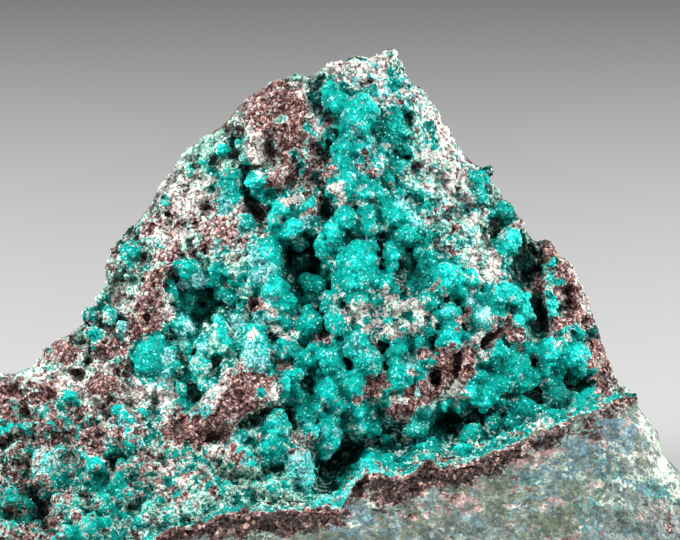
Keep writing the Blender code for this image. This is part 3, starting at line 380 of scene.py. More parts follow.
# Black gaps between the lumps, also darkened by painted shade through the crack mask: x, y, half width, half
# height, turn, depth in mm
GAPS = (
    (327, 188, 7.7, 11.2, 0, 0.68), (324, 214, 7.7, 6.9, 0, 0.82), (305, 252, 17.2, 12, 0, 0.54),
    (292, 250, 8.6, 15.5, 0, 0.68), (318, 268, 8.6, 18.9, 0, 0.54), (372, 172, 5.2, 6.9, 0, 0.68),
    (385, 236, 5.2, 6, 0, 0.54), (436, 239, 7.7, 4.3, -20, 0.54), (417, 167, 6, 7.7, 0, 0.34),
    (407, 120, 5.2, 7.7, 0, 0.30), (345, 97, 3.4, 7.7, -10, 0.41), (380, 112, 3.4, 6, 0, 0.41),
    (399, 270, 4, 9, 20, 0.41), (440, 248, 8.6, 5.2, 0, 0.48), (396, 233, 4.3, 6, 0, 0.48),
    (264, 150, 6.9, 12, 0, 0.68), (248, 167, 9.5, 5.2, 0, 0.61), (290, 182, 5.2, 6, 0, 0.54),
    (272, 196, 6.9, 5.2, 0, 0.54), (232, 142, 4.3, 7.7, 10, 0.54), (250, 206, 7.7, 12, -15, 0.68),
    (258, 214, 8.6, 6.9, 0, 0.54), (205, 208, 6.9, 5.2, 0, 0.54), (152, 232, 4.3, 6, 0, 0.34),
    (178, 252, 6.9, 4.3, -40, 0.48), (172, 276, 5.2, 6.9, 0, 0.54), (150, 300, 4.3, 5.2, 0, 0.48),
    (146, 322, 4.3, 4.3, 0, 0.48), (168, 322, 5.2, 5.2, 0, 0.54), (285, 282, 4.3, 6, 0, 0.48),
    (252, 290, 4.3, 5.2, 0, 0.34), (250, 318, 5.2, 5.2, 0, 0.54), (274, 346, 5.2, 7.7, 0, 0.61),
    (268, 372, 10.3, 3.4, -12, 0.61), (216, 360, 5.2, 6, 0, 0.54), (192, 392, 7.7, 6.9, 0, 0.61),
    (308, 388, 6, 10.3, 0, 0.61), (348, 362, 4.3, 4.3, 0, 0.61), (386, 356, 6, 11.2, 0, 0.68),
    (457, 312, 4.3, 12, 0, 0.75), (463, 326, 4.3, 6, 0, 0.54), (402, 290, 3.4, 5.2, 0, 0.41),
    (436, 344, 4.3, 6, 0, 0.61), (457, 365, 3.4, 14.6, 6, 0.61), (435, 378, 5.2, 10.3, 0, 0.82),
    (484, 342, 12, 4.3, -36, 0.54), (448, 418, 8.6, 8.6, 0, 0.68), (380, 412, 6, 6.9, 0, 0.54),
    (405, 392, 2.6, 4.3, 0, 0.41), (538, 318, 6.9, 17.2, 0, 0.68), (536, 365, 4.3, 10.3, 0, 0.68),
    (566, 292, 6, 6.9, 0, 0.68), (564, 307, 4.3, 6, 0, 0.68), (585, 322, 4.3, 4.3, 0, 0.54),
    (585, 392, 12.9, 6, -10, 0.61), (504, 420, 5.2, 8.6, 20, 0.68), (620, 394, 5.2, 6, 0, 0.54),
    (470, 395, 10.3, 3.4, -30, 0.48), (478, 412, 7.7, 6.9, 0, 0.54), (287, 416, 4.3, 13.8, 0, 0.68),
    (258, 418, 18.9, 5.2, -25, 0.68), (310, 452, 6, 5.2, 0, 0.48), (352, 450, 9, 5, 0, 0.41),
    (180, 426, 8.6, 5.2, 0, 0.61), (212, 438, 6.9, 5.2, 0, 0.54), (155, 410, 4.3, 12, 0, 0.61),
    (77, 376, 6.9, 5.2, 0, 0.61), (88, 361, 3.4, 5.2, 0, 0.48), (10, 392, 8.6, 8.6, 0, 0.41),
    (52, 396, 7.7, 6, 0, 0.54), (118, 462, 6.9, 6.9, 0, 0.61), (62, 452, 8.6, 6.9, 0, 0.61),
    (24, 493, 9, 5, -20, 0.5), (43, 509, 6, 9, 10, 0.4), (12, 513, 8, 6, 0, 0.5),
    (34, 531, 12, 5, 0, 0.5), (20, 520, 12, 6.9, 0, 0.54), (58, 432, 7.7, 3.4, -20, 0.54),
    (100, 436, 6.9, 3.4, 0, 0.48), (92, 448, 6, 2.6, 0, 0.48), (140, 428, 4.3, 6, 30, 0.54),
    (160, 463, 6, 6, 0, 0.61), (5, 446, 6.9, 4.3, 0, 0.61), (130, 404, 6.9, 3.4, 0, 0.48),
    (112, 402, 4.3, 4.3, 0, 0.41), (88, 500, 10.3, 3.4, 0, 0.54), (128, 505, 10.3, 3.4, -15, 0.54),
    (150, 488, 6.9, 3.4, 0, 0.41), (200, 478, 8.6, 3.4, 0, 0.41), (230, 478, 8.6, 3.4, 0, 0.34),
    (262, 478, 8.6, 4.3, 0, 0.54), (40, 522, 13.8, 5.2, 0, 0.54), (118, 348, 6.9, 3.4, -30, 0.41),
    (138, 372, 4.3, 6.9, 0, 0.54), (104, 340, 4.3, 3.4, 0, 0.48), (128, 282, 6, 3.4, 0, 0.48),
    (142, 262, 4.3, 6.9, 0, 0.61), (118, 300, 3.4, 5.2, 0, 0.41),
)

# What the surface is made of, with painted shade as "deep": x, y, half width, half height, turn, strength;
# later ones cover earlier ones
KINDS = ("teal", "brown", "pale", "mint", "cyan", "deep")
PATCHES = (
    # broad mixtures
    ("mint", (225, 470, 90, 50, 0, 0.30), (120, 480, 120, 70, 0, 0.30), (200, 340, 60, 60, 0, 0.22),
     (420, 140, 30, 50, -15, 0.5), (470, 215, 26, 36, -25, 0.55), (120, 290, 24, 30, -20, 0.5),
     (210, 160, 30, 34, 30, 0.7), (60, 385, 60, 24, -15, 0.25), (35, 440, 40, 20, 10, 0.4)),
    ("pale", (120, 440, 120, 50, 0, 0.34), (40, 385, 60, 22, 0, 0.5), (440, 130, 14, 50, -25, 0.8),
     (378, 66, 26, 14, 0, 0.8), (350, 78, 18, 14, 0, 0.75), (382, 95, 14, 20, 0, 0.7),
     (445, 190, 20, 24, 0, 0.85), (425, 165, 12, 20, -10, 0.55), (472, 170, 18, 22, -30, 0.5),
     (480, 225, 14, 30, -30, 0.55), (488, 264, 20, 17, 15, 0.8), (385, 312, 48, 26, 0, 0.40),
     (355, 312, 10, 14, 0, 0.55), (415, 312, 18, 20, 0, 0.35), (195, 192, 26, 18, -25, 0.85),
     (170, 190, 14, 22, 30, 0.7), (212, 225, 40, 26, -10, 0.5), (165, 235, 20, 26, 0, 0.5),
     (120, 300, 22, 18, 0, 0.5), (100, 350, 44, 22, -30, 0.5), (306, 108, 8, 26, -25, 0.85),
     (165, 170, 26, 12, -45, 0.5), (140, 390, 22, 14, 0, 0.7), (88, 390, 22, 7, 38, 0.85)),
    ("brown", (276, 108, 34, 26, 0, 1.0), (266, 100, 26, 14, -38, 0.95), (275, 128, 24, 14, 0, 1.0),
     (302, 152, 20, 22, 30, 0.8), (322, 168, 14, 14, 20, 0.6), (282, 150, 13, 16, 0, 0.9),
     (277, 178, 12, 13, 0, 0.75), (312, 211, 7, 7, 20, 0.95), (370, 162, 14, 13, 0, 0.55),
     (393, 188, 4, 9, 0, 0.6), (220, 228, 30, 16, -10, 0.62), (200, 241, 13, 9, 0, 0.95),
     (177, 228, 6, 8, 0, 0.9), (147, 226, 9, 8, 0, 0.7), (232, 240, 14, 9, 0, 0.6),
     (167, 254, 13, 20, 30, 0.7), (152, 285, 12, 16, 10, 0.7), (146, 318, 18, 24, 12, 0.85),
     (118, 346, 22, 12, -30, 0.6), (60, 352, 20, 12, -30, 0.95), (104, 386, 17, 12, 0, 1.0),
     (44, 394, 14, 11, 0, 0.8), (8, 400, 18, 20, 0, 0.95), (-30, 420, 30, 30, 0, 0.7),
     (165, 215, 8, 6, 0, 0.4), (255, 70, 60, 14, -35, 0.5), (335, 56, 50, 5, -10, 0.6),
     (180, 148, 30, 6, -40, 0.7), (76, 430, 16, 18, 0, 0.8), (92, 448, 14, 10, 0, 0.7),
     (50, 424, 18, 8, -20, 0.7), (118, 262, 14, 12, 0, 0.45), (438, 212, 15, 9, 10, 0.7),
     (460, 231, 12, 9, 20, 0.7), (452, 248, 10, 6, 0, 0.5), (408, 100, 12, 8, 0, 0.35),
     (352, 66, 14, 6, 0, 0.5), (372, 82, 6, 10, 0, 0.35), (320, 100, 12, 8, 0, 0.35),
     (330, 125, 14, 5, 10, 0.4)),
    # A lighter cyan over the summit: partly the mineral's own colour, partly painted light where the top is
    # brightest
    ("cyan", (370, 115, 56, 50, 0, 0.42), (400, 200, 50, 40, 30, 0.12), (445, 200, 34, 56, -25, 0.32)),
    # the dim lower left: brown rock, and painted shade ("deep")
    ("brown", (90, 470, 110, 60, 0, 0.35), (20, 480, 50, 60, 0, 0.35), (30, 410, 60, 30, 0, 0.35),
     (200, 480, 60, 30, 0, 0.12)),
    ("deep", (60, 500, 90, 46, 0, 0.55), (150, 470, 60, 40, 0, 0.35), (30, 440, 50, 40, 0, 0.3),
     (250, 460, 60, 36, 0, 0.3), (240, 395, 44, 44, 0, 0.2)),
    # the ledge and what hangs below it
    ("brown", (246, 388, 34, 22, -8, 1.0), (232, 404, 26, 14, -30, 1.0), (200, 430, 34, 17, -12, 1.0),
     (182, 425, 14, 20, 0, 0.8), (226, 453, 18, 10, 0, 0.7), (165, 466, 18, 12, 0, 0.6),
     (306, 440, 12, 9, 0, 0.5), (300, 452, 14, 5, 0, 0.5), (258, 440, 10, 6, 0, 0.3),
     (284, 366, 8, 6, 0, 0.6), (320, 338, 10, 7, 0, 0.65)),
    ("pale", (214, 394, 10, 12, -20, 0.8), (270, 390, 10, 9, 0, 0.55), (224, 376, 5, 12, 0, 0.7),
     (262, 402, 14, 5, -20, 0.4), (165, 400, 6, 26, 0, 0.7), (222, 450, 14, 8, 0, 0.55),
     (167, 468, 12, 8, 0, 0.6), (300, 438, 10, 7, 0, 0.5), (290, 334, 9, 5, 0, 0.7),
     (276, 330, 7, 6, 0, 0.6), (184, 484, 8, 6, 0, 0.6), (12, 470, 14, 16, 0, 0.45),
     (334, 68, 9, 8, 0, 0.95), (254, 150, 13, 18, 0, 0.95), (335, 189, 9, 6, 0, 0.9),
     (341, 200, 4, 6, 0, 0.9), (292, 200, 9, 9, 0, 0.6), (412, 208, 18, 5, 42, 0.55),
     (167, 308, 8, 12, 0, 0.8), (105, 368, 14, 5, -20, 0.7)),
    # the band of rock around the crack, and the flakes of the right side
    ("brown", (447, 368, 12, 22, 8, 1.0), (465, 362, 12, 20, 15, 1.0), (428, 398, 18, 6, -25, 1.0),
     (425, 386, 11, 8, 0, 0.9), (401, 409, 15, 12, 0, 1.0), (375, 388, 13, 12, 0, 0.9),
     (357, 400, 5, 5, 0, 0.9), (410, 394, 7, 7, 0, 0.9), (425, 353, 6, 6, 0, 0.9),
     (505, 325, 12, 10, 0, 0.85), (517, 334, 12, 8, 0, 1.0), (463, 322, 7, 10, 0, 0.6),
     (467, 309, 5, 5, 0, 0.8), (438, 291, 12, 9, 30, 0.35), (436, 352, 8, 6, 0, 0.6),
     (492, 340, 16, 5, -38, 0.8), (552, 252, 12, 14, 0, 0.95), (569, 277, 15, 22, -30, 1.0),
     (582, 305, 13, 20, -10, 0.9), (538, 283, 5, 11, -15, 0.85), (556, 294, 5, 7, 0, 0.8),
     (563, 325, 18, 9, -32, 1.0), (597, 348, 12, 18, 10, 0.95), (607, 374, 13, 18, 0, 0.9),
     (608, 396, 16, 12, 0, 0.85), (256, 304, 8, 7, 0, 1.0), (370, 172, 6, 5, 0, 0.7)),
    ("teal", (330, 98, 14, 20, 0, 0.8), (357, 112, 24, 20, 0, 1.0), (392, 128, 20, 22, 0, 1.0),
     (335, 150, 16, 16, 0, 0.85), (322, 132, 12, 10, 20, 0.7), (398, 160, 12, 18, 0, 0.95),
     (394, 186, 10, 12, 0, 0.6), (414, 192, 16, 6, 25, 0.9), (400, 220, 24, 20, 40, 1.0),
     (400, 81, 10, 10, 0, 1.0), (393, 70, 8, 8, 0, 0.7), (347, 90, 7, 8, 0, 0.8), (326, 80, 9, 8, 0, 0.8),
     (366, 90, 9, 10, 0, 0.6), (315, 100, 5, 10, 0, 0.6), (430, 126, 5, 8, 0, 0.9),
     (432, 141, 6, 6, 0, 0.9), (412, 106, 6, 6, 0, 0.7), (430, 202, 8, 5, 0, 0.8),
     (445, 168, 7, 8, 0, 0.35), (480, 180, 12, 14, 0, 1.0), (482, 195, 9, 8, 0, 1.0),
     (504, 214, 14, 14, 0, 1.0), (509, 243, 15, 15, 0, 1.0), (470, 208, 8, 5, 0, 0.6),
     (488, 238, 8, 8, 0, 0.6), (430, 238, 16, 8, 0, 0.8), (442, 232, 8, 4, 0, 0.8),
     (131, 252, 12, 12, 0, 0.9), (92, 316, 9, 9, 0, 0.8), (92, 334, 10, 9, 0, 0.9),
     (104, 302, 8, 8, 0, 0.8), (112, 318, 7, 8, 0, 0.7), (148, 350, 20, 14, -30, 0.9),
     (142, 367, 16, 12, 0, 0.8), (222, 150, 9, 8, 0, 0.95), (205, 162, 6, 4, 0, 0.9),
     (213, 172, 8, 5, 0, 0.8), (191, 170, 6, 5, 0, 0.7), (165, 202, 5, 7, 0, 0.8),
     (228, 190, 18, 20, 20, 0.85), (243, 168, 5, 14, 10, 0.7), (248, 222, 10, 9, 0, 0.8),
     (160, 245, 5, 5, 0, 0.4), (20, 430, 24, 10, 15, 0.7), (36, 444, 10, 10, 0, 0.7),
     (86, 424, 12, 6, 0, 0.6), (112, 415, 10, 6, 0, 0.6), (72, 397, 8, 7, 0, 1.0),
     (60, 403, 6, 5, 0, 1.0), (76, 414, 10, 5, 0, 0.4), (100, 462, 16, 7, 0, 0.7),
     (545, 265, 5, 5, 0, 1.0), (552, 262, 5, 5, 0, 1.0), (549, 278, 5, 5, 0, 0.9),
     (559, 283, 6, 5, 0, 0.9), (552, 306, 7, 12, 0, 0.9), (566, 332, 13, 3, -32, 0.95),
     (580, 335, 7, 8, 0, 0.85), (593, 334, 5, 7, 0, 0.9), (587, 348, 4, 10, 0, 0.8),
     (506, 272, 6, 14, 0, 0.8), (300, 168, 5, 5, 0, 0.5), (311, 165, 4, 4, 0, 0.7),
     (294, 156, 5, 6, 0, 0.5), (315, 185, 6, 12, 0, 0.8), (188, 445, 5, 5, 0, 0.7),
     (180, 453, 8, 4, 0, 0.7), (185, 405, 10, 7, 0, 0.6), (262, 393, 4, 6, 0, 0.9)),
    ("pale", (269, 312, 5, 5, 0, 0.9), (254, 334, 6, 5, 0, 0.85), (245, 357, 4, 6, 0, 0.85),
     (241, 470, 14, 4, 0, 0.7), (480, 338, 11, 5, -38, 0.8), (463, 394, 8, 6, 0, 0.6),
     (452, 391, 8, 5, 0, 0.5), (412, 371, 7, 4, 0, 0.7), (403, 416, 5, 2, 0, 1.0),
     (437, 323, 5, 5, 0, 0.7), (500, 275, 7, 6, 0, 0.7), (483, 357, 8, 6, 0, 0.6),
     (574, 272, 5, 14, -25, 0.5), (586, 300, 5, 14, -15, 0.45), (612, 384, 5, 12, 0, 0.5),
     (626, 398, 9, 8, 0, 0.6), (516, 336, 6, 4, 0, 0.5), (566, 341, 10, 3, -20, 0.6),
     (545, 280, 3, 16, 0, 0.6), (401, 403, 7, 5, 0, 0.4), (385, 288, 6, 5, 0, 0.8),
     (394, 330, 8, 8, 0, 0.7), (405, 315, 5, 10, 0, 0.6), (392, 298, 8, 5, 0, 0.5)),
    ("cyan", (301, 464, 13, 18, 0, 0.8), (302, 484, 8, 14, 10, 0.65), (254, 253, 11, 9, 0, 1.0),
     (268, 267, 9, 7, 0, 0.8), (258, 277, 8, 7, 0, 0.95), (253, 343, 10, 6, 0, 0.85),
     (256, 362, 13, 9, 0, 0.95), (250, 351, 6, 6, 0, 0.8), (264, 319, 10, 5, 0, 0.8),
     (217, 248, 3, 10, 15, 1.0), (122, 328, 4, 10, 0, 1.0), (197, 279, 7, 9, 0, 0.95),
     (183, 284, 5, 6, 0, 0.7), (206, 278, 4, 4, 0, 1.0), (184, 328, 10, 13, 0, 0.7),
     (238, 323, 8, 6, 0, 0.8), (203, 343, 7, 12, 0, 0.5), (165, 380, 8, 14, 0, 0.6),
     (168, 357, 8, 8, 0, 0.6), (223, 202, 6, 10, 0, 0.9), (243, 225, 5, 6, 0, 0.7),
     (308, 222, 8, 8, -30, 0.6), (356, 336, 5, 5, 0, 0.95), (353, 347, 9, 6, 0, 0.6),
     (370, 357, 4, 4, 0, 0.8), (240, 437, 9, 8, 0, 0.75), (245, 457, 7, 6, 0, 0.5),
     (412, 362, 8, 5, 0, 0.7), (418, 391, 3, 9, 0, 0.8), (417, 427, 8, 9, 0, 0.5),
     (447, 312, 7, 7, 0, 0.45), (485, 318, 9, 12, 0, 0.6), (487, 312, 4, 5, 0, 0.9),
     (325, 433, 10, 6, 0, 0.4), (330, 452, 9, 7, 0, 0.5), (339, 432, 4, 5, 0, 0.8),
     (357, 435, 5, 4, 0, 0.8), (468, 301, 5, 5, 0, 0.8), (407, 205, 12, 8, 42, 0.8),
     (420, 222, 10, 6, 42, 0.7), (46, 460, 16, 16, 0, 0.5), (185, 510, 26, 9, 0, 0.35),
     (332, 498, 16, 5, 0, 0.75), (190, 416, 5, 5, 0, 0.8), (205, 412, 5, 5, 0, 0.7),
     (210, 385, 4, 8, 0, 0.6), (125, 425, 9, 9, 0, 0.5), (135, 443, 8, 8, 0, 0.5),
     (575, 328, 3, 5, 0, 0.9), (270, 300, 8, 8, 0, 0.4), (350, 180, 10, 8, 0, 0.25)),
    ("mint", (46, 465, 14, 14, 0, 0.5), (105, 500, 10, 9, 0, 0.5), (70, 508, 16, 12, 0, 0.4),
     (165, 512, 30, 10, 0, 0.6), (200, 500, 18, 12, 0, 0.5), (280, 488, 16, 12, 0, 0.5),
     (213, 342, 5, 7, 0, 0.8), (217, 351, 14, 3, -32, 0.85), (195, 366, 6, 10, 0, 0.7),
     (201, 382, 4, 8, 0, 0.7), (237, 152, 6, 8, 0, 0.9), (279, 119, 6, 4, 0, 0.95),
     (182, 390, 6, 5, 0, 0.5), (300, 498, 22, 5, 0, 0.6), (10, 530, 14, 12, 0, 0.7),
     (514, 325, 5, 3, 0, 0.9), (248, 472, 14, 4, 0, 0.5), (247, 290, 6, 8, 0, 0.8),
     (238, 265, 10, 12, 0, 0.5), (205, 262, 10, 8, 0, 0.8), (190, 243, 8, 10, 45, 0.7),
     (110, 284, 12, 6, -30, 0.6), (540, 428, 24, 4, -22, 0.5), (575, 413, 16, 4, -15, 0.5),
     (530, 299, 5, 4, 0, 0.8), (128, 238, 8, 5, 0, 0.6), (116, 276, 10, 4, 0, 0.8),
     (80, 340, 8, 6, 0, 0.7), (150, 245, 4, 12, 0, 0.6), (28, 372, 12, 4, 0, 0.6)),
    ("pale", (450, 178, 14, 22, -20, 0.45), (100, 490, 120, 60, 0, 0.10), (285, 125, 42, 44, 0, 0.10)),
    ("teal", (486, 173, 11, 9, 0, 0.9)),
    ("mint", (452, 200, 36, 62, -25, 0.20)),
    ("brown", (100, 480, 120, 60, 0, 0.14), (10, 510, 36, 40, 0, 0.35)),
    # painted shade ("deep") in hollows, gaps and shaded places
    ("deep", (199, 302, 22, 15, 0, 0.95), (338, 466, 20, 26, -25, 0.3), (304, 262, 17, 26, 0, 0.75),
     (148, 369, 13, 10, 0, 0.5), (120, 455, 12, 14, 0, 0.6), (233, 350, 7, 9, 0, 0.7),
     (303, 397, 12, 12, 0, 0.6), (556, 399, 15, 12, 0, 0.6), (440, 425, 24, 14, 0, 0.7),
     (390, 450, 16, 12, 0, 0.4), (525, 268, 14, 22, 0, 0.9), (535, 318, 10, 24, 0, 0.9),
     (415, 262, 14, 20, 0, 0.5), (375, 405, 12, 8, 0, 0.6), (20, 505, 26, 20, 0, 0.6),
     (100, 485, 20, 7, 0, 0.4), (236, 143, 7, 8, 0, 0.6), (407, 120, 7, 9, 0, 0.3),
     (417, 168, 8, 8, 0, 0.25), (355, 230, 8, 12, 0, 0.5), (390, 348, 8, 14, 0, 0.5),
     (270, 338, 6, 9, 0, 0.6), (313, 282, 12, 14, 0, 0.3), (305, 300, 10, 20, 0, 0.5),
     (396, 232, 7, 10, 0, 0.6)),
)
SLAB_KINDS = ("blue", "olive", "rose", "sea", "cream", "rim")
SLAB_PATCHES = (
    ("olive", (492, 495, 26, 18, 0, 0.52), (575, 490, 28, 24, 0, 0.40), (545, 520, 40, 16, 0, 0.40),
     (470, 482, 24, 10, 0, 0.32), (640, 458, 8, 9, 0, 0.56), (420, 520, 36, 14, 0, 0.40),
     (300, 532, 34, 8, 0, 0.48), (250, 530, 12, 8, 0, 0.48)),
    ("rose", (530, 456, 22, 9, -12, 0.52), (550, 450, 12, 12, 0, 0.40), (512, 464, 10, 5, 0, 0.56),
     (462, 503, 17, 8, 15, 0.76), (596, 441, 8, 6, 0, 0.48), (582, 430, 14, 9, 0, 0.40),
     (388, 497, 12, 10, 0, 0.40), (662, 512, 10, 8, 0, 0.40), (635, 522, 12, 8, 0, 0.32),
     (560, 500, 8, 6, 0, 0.32), (565, 535, 12, 6, 0, 0.40), (620, 452, 5, 4, 0, 0.40)),
    ("sea", (609, 470, 15, 14, 0, 0.64), (590, 512, 11, 20, 0, 0.64), (652, 490, 24, 10, 18, 0.64),
     (674, 506, 8, 12, 0, 0.40), (625, 512, 12, 7, 0, 0.40), (530, 478, 20, 6, 0, 0.28),
     (568, 470, 10, 10, 0, 0.24), (640, 530, 14, 8, 0, 0.32)),
    ("blue", (575, 448, 14, 16, 0, 0.56), (600, 424, 14, 10, 0, 0.56), (620, 434, 18, 16, 0, 0.56),
     (560, 470, 20, 12, 0, 0.48), (592, 456, 18, 12, 0, 0.48), (350, 518, 24, 15, 0, 0.76),
     (632, 486, 12, 8, 0, 0.40), (468, 522, 16, 6, 0, 0.40), (590, 535, 16, 8, 0, 0.32),
     (552, 488, 10, 6, 0, 0.32)),
    ("cream", (672, 480, 9, 22, -38, 0.60), (660, 452, 6, 18, -25, 0.60), (630, 480, 30, 8, -30, 0.22),
     (560, 470, 40, 6, -25, 0.18), (610, 500, 20, 6, 20, 0.2), (640, 455, 16, 8, 0, 0.2),
     (595, 465, 50, 40, 0, 0.12), (650, 430, 6, 16, -30, 0.56), (372, 497, 14, 8, 10, 0.56),
     (260, 534, 14, 7, 0, 0.48), (641, 420, 8, 10, -30, 0.40), (355, 524, 6, 4, 0, 0.40),
     (676, 500, 8, 14, 0, 0.48)),
    ("rim", (180, 533, 36, 11, -18, 1.0), (235, 523, 34, 15, -5, 1.0), (282, 519, 56, 14, 0, 1.0),
     (322, 514, 26, 11, 0, 1.0), (344, 505, 14, 4, -12, 1.0), (356, 491, 9, 8, -50, 1.0),
     (380, 484, 20, 14, 10, 0.9), (395, 495, 14, 12, 0, 0.8), (410, 483, 20, 16, -10, 1.0),
     (430, 470, 14, 18, -10, 1.0), (455, 474, 24, 12, -8, 1.0), (482, 467, 22, 10, -8, 1.0),
     (504, 456, 18, 10, -22, 0.9), (525, 448, 16, 8, -25, 0.75), (548, 437, 18, 9, -25, 0.7),
     (580, 428, 14, 8, 0, 0.55), (592, 430, 10, 9, 0, 0.4), (612, 405, 16, 11, -25, 0.9),
     (630, 396, 12, 9, -30, 0.9), (588, 417, 6, 5, 0, 0.8), (378, 508, 9, 8, 0, 0.7),
     (452, 492, 14, 5, 0, 0.5), (668, 525, 8, 8, 0, 0.4), (410, 518, 10, 4, 0, 0.5)),
)

VIEW_RIGHT = np.array((1.0, 0.0, 0.0))
VIEW_UP = np.array((0.0, math.sin(VIEW_TILT), math.cos(VIEW_TILT)))
TO_VIEWER = np.array((0.0, -math.cos(VIEW_TILT), math.sin(VIEW_TILT)))
FACE_ORIGIN = np.array((FACE_SIDE, FACE_SETBACK, FACE_HEIGHT))
UNIT = FACE_WIDTH / FACE_UNITS
UNIT_MM = UNIT / MM


def place(spots, depth):
    """Points in space of places on the sheet at depths in millimetres."""
    nearer = (1.0 - depth * MM / EYE_DISTANCE)[:, None]
    offset = (spots - FACE_CENTRE) * (UNIT, -UNIT) * nearer
    across = offset[:, :1] * VIEW_RIGHT
    up = offset[:, 1:] * VIEW_UP
    return FACE_ORIGIN + across + up + (depth * MM)[:, None] * TO_VIEWER


def unplace(points):
    """Places on the sheet and depths of points in space: what place() undoes."""
    offset = points - FACE_ORIGIN
    depth = offset @ TO_VIEWER
    nearer = 1.0 - depth / EYE_DISTANCE
    x = FACE_CENTRE[0] + offset @ VIEW_RIGHT / nearer / UNIT
    y = FACE_CENTRE[1] - offset @ VIEW_UP / nearer / UNIT
    return np.stack([x, y], 1), depth / MM


def smooth_surface(samples):
    """A smooth surface through samples of (x, y, depth), as a function of places."""
    table = np.array(samples, dtype=float)
    places = table[:, :2]
    spread = np.hypot(*(places[:, None] - places[None]).transpose(2, 0, 1))
    kernel = np.sqrt(spread ** 2 + SURFACE_SOFTNESS ** 2)
    count = len(table)
    system = np.zeros((count + 3, count + 3))
    system[:count, :count] = kernel - np.eye(count) * SURFACE_SMOOTHING
    system[:count, count] = 1.0
    system[:count, count + 1:] = places
    system[count, :count] = 1.0
    system[count + 1:, :count] = places.T
    weights = np.linalg.solve(system, np.concatenate([table[:, 2], np.zeros(3)]))

    def surface(points):
        result = weights[count] + points @ weights[count + 1:]
        for spot, weight in zip(places, weights):
            offset = points - spot
            away = offset[:, 0] ** 2 + offset[:, 1] ** 2
            result = result + weight * np.sqrt(away + SURFACE_SOFTNESS ** 2)
        return result
    return surface


def distance_to_path(points, path, closed):
    """Distance from each point to a polyline."""
    corners = [np.array(corner, dtype=float) for corner in path]
    nearest = np.full(len(points), 1e9)
    ends = corners[1:] + corners[:1] if closed else corners[1:]
    for start, end in zip(corners, ends):
        along = end - start
        offset = points - start
        share = np.clip(offset @ along / (along @ along), 0.0, 1.0)
        gap = offset - share[:, None] * along
        nearest = np.minimum(nearest, gap[:, 0] ** 2 + gap[:, 1] ** 2)
    return np.sqrt(nearest)


def inside(points, polygon):
    """Whether each point lies in a polygon."""
    result = np.zeros(len(points), dtype=bool)
    previous = polygon[-1]
    for corner in polygon:
        (x0, y0), (x1, y1) = previous, corner
        if y0 != y1:
            crossing = (y0 > points[:, 1]) != (y1 > points[:, 1])
            result ^= crossing & (points[:, 0] < (x1 - x0) * (points[:, 1] - y0) / (y1 - y0) + x0)
        previous = corner
    return result


def ellipse_distance(points, x, y, half_width, half_height, turn):
    """0 at the middle of a turned ellipse, 1 on its edge."""
    angle = math.radians(turn)
    dx = points[:, 0] - x
    dy = points[:, 1] - y
    across = (dx * math.cos(angle) + dy * math.sin(angle)) / half_width
    down = (dy * math.cos(angle) - dx * math.sin(angle)) / half_height
    return np.hypot(across, down)


def roughness(points, size, seed):
    """Broken-rock noise between about -1 and 1, the same as in the CAD model."""
    values = []
    for x, y in points:
        spot = Vector((x / size, y / size, seed))
        values.append(noise.noise(spot) + 0.5 * noise.noise(spot * 2.3))
    return np.array(values)


def on_crust(points):
    """Whether each point lies on the crust."""
    result = inside(points, CRUST_EDGE)
    for window in CRUST_WINDOWS:
        result &= ~inside(points, window)
    return result


def scramble(x, y, z, seed):
    """A number between 0 and 1 for each whole-numbered cell."""
    mixed = x * 374761393 + y * 668265263 + z * 2147483647 + seed * 1274126177
    mixed = (mixed ^ (mixed >> 13)) * 1274126177
    mixed = (mixed ^ (mixed >> 16)) * 668265263
    mixed = mixed ^ (mixed >> 15)
    return (mixed & 0xFFFFFF) / float(0x1000000)


def blobs(points, size, seed):
    """Smooth noise between -1 and 1 over points in millimetres or sheet units."""
    scaled = points / size
    cell = np.floor(scaled).astype(np.int64)
    share = scaled - cell
    share = share * share * (3.0 - 2.0 * share)
    flat = points.shape[1] == 2
    result = 0.0
    for corner in range(4 if flat else 8):
        step = np.array([(corner >> axis) & 1 for axis in range(points.shape[1])])
        weight = np.prod(np.where(step, share, 1.0 - share), axis=1)
        spot = cell + step
        third = 0 if flat else spot[:, 2]
        result = result + weight * scramble(spot[:, 0], spot[:, 1], third, seed)
    return result * 2.0 - 1.0


def fractal(points, size, seed, octaves):
    result = 0.0
    weight = 1.0
    total = 0.0
    for octave in range(octaves):
        result = result + weight * blobs(points, size / 2.1 ** octave, seed + octave)
        total += weight
        weight *= 0.55
    return result / total


def cells(points, size, seed):
    """For each point: how near it is to the gap beside its cell (1 at the gap), and its cell's number."""
    scaled = points / size
    base = np.floor(scaled).astype(np.int64)
    nearest = np.full(len(points), 9.0)
    second = np.full(len(points), 9.0)
    mark = np.zeros(len(points))
    for code in range(27):
        spot = base + np.array((code % 3 - 1, code // 3 % 3 - 1, code // 9 - 1))
        gap = 0.0
        for axis in range(3):
            middle = spot[:, axis] + scramble(spot[:, 0], spot[:, 1], spot[:, 2], seed + axis)
            gap = gap + (scaled[:, axis] - middle) ** 2
        closer = gap < nearest
        second = np.where(closer, nearest, np.minimum(second, gap))
        nearest = np.where(closer, gap, nearest)
        mark = np.where(closer, scramble(spot[:, 0], spot[:, 1], spot[:, 2], seed + 7), mark)
    return np.clip(1.0 - (np.sqrt(second) - np.sqrt(nearest)), 0.0, 1.0), mark


def smoothstep(value, low, high):
    share = np.clip((value - low) / (high - low), 0.0, 1.0)
    return share * share * (3.0 - 2.0 * share)


hollow_surface = smooth_surface(HOLLOW_DEPTHS)
slab_surface = smooth_surface(SLAB_DEPTHS)
back_surface = smooth_surface(BACK_DEPTHS)


def flat(spots):
    """Places on the sheet with a third number, for noise in space."""
    return np.column_stack([spots, np.zeros(len(spots))])


def shaken(points, size, amount, seed):
    """Places moved a little by noise, so that edges that follow them are ragged."""
    across = fractal(flat(points), size, seed, 3)
    down = fractal(flat(points), size, seed + 31, 3)
    return points + amount * np.stack([across, down], 1)


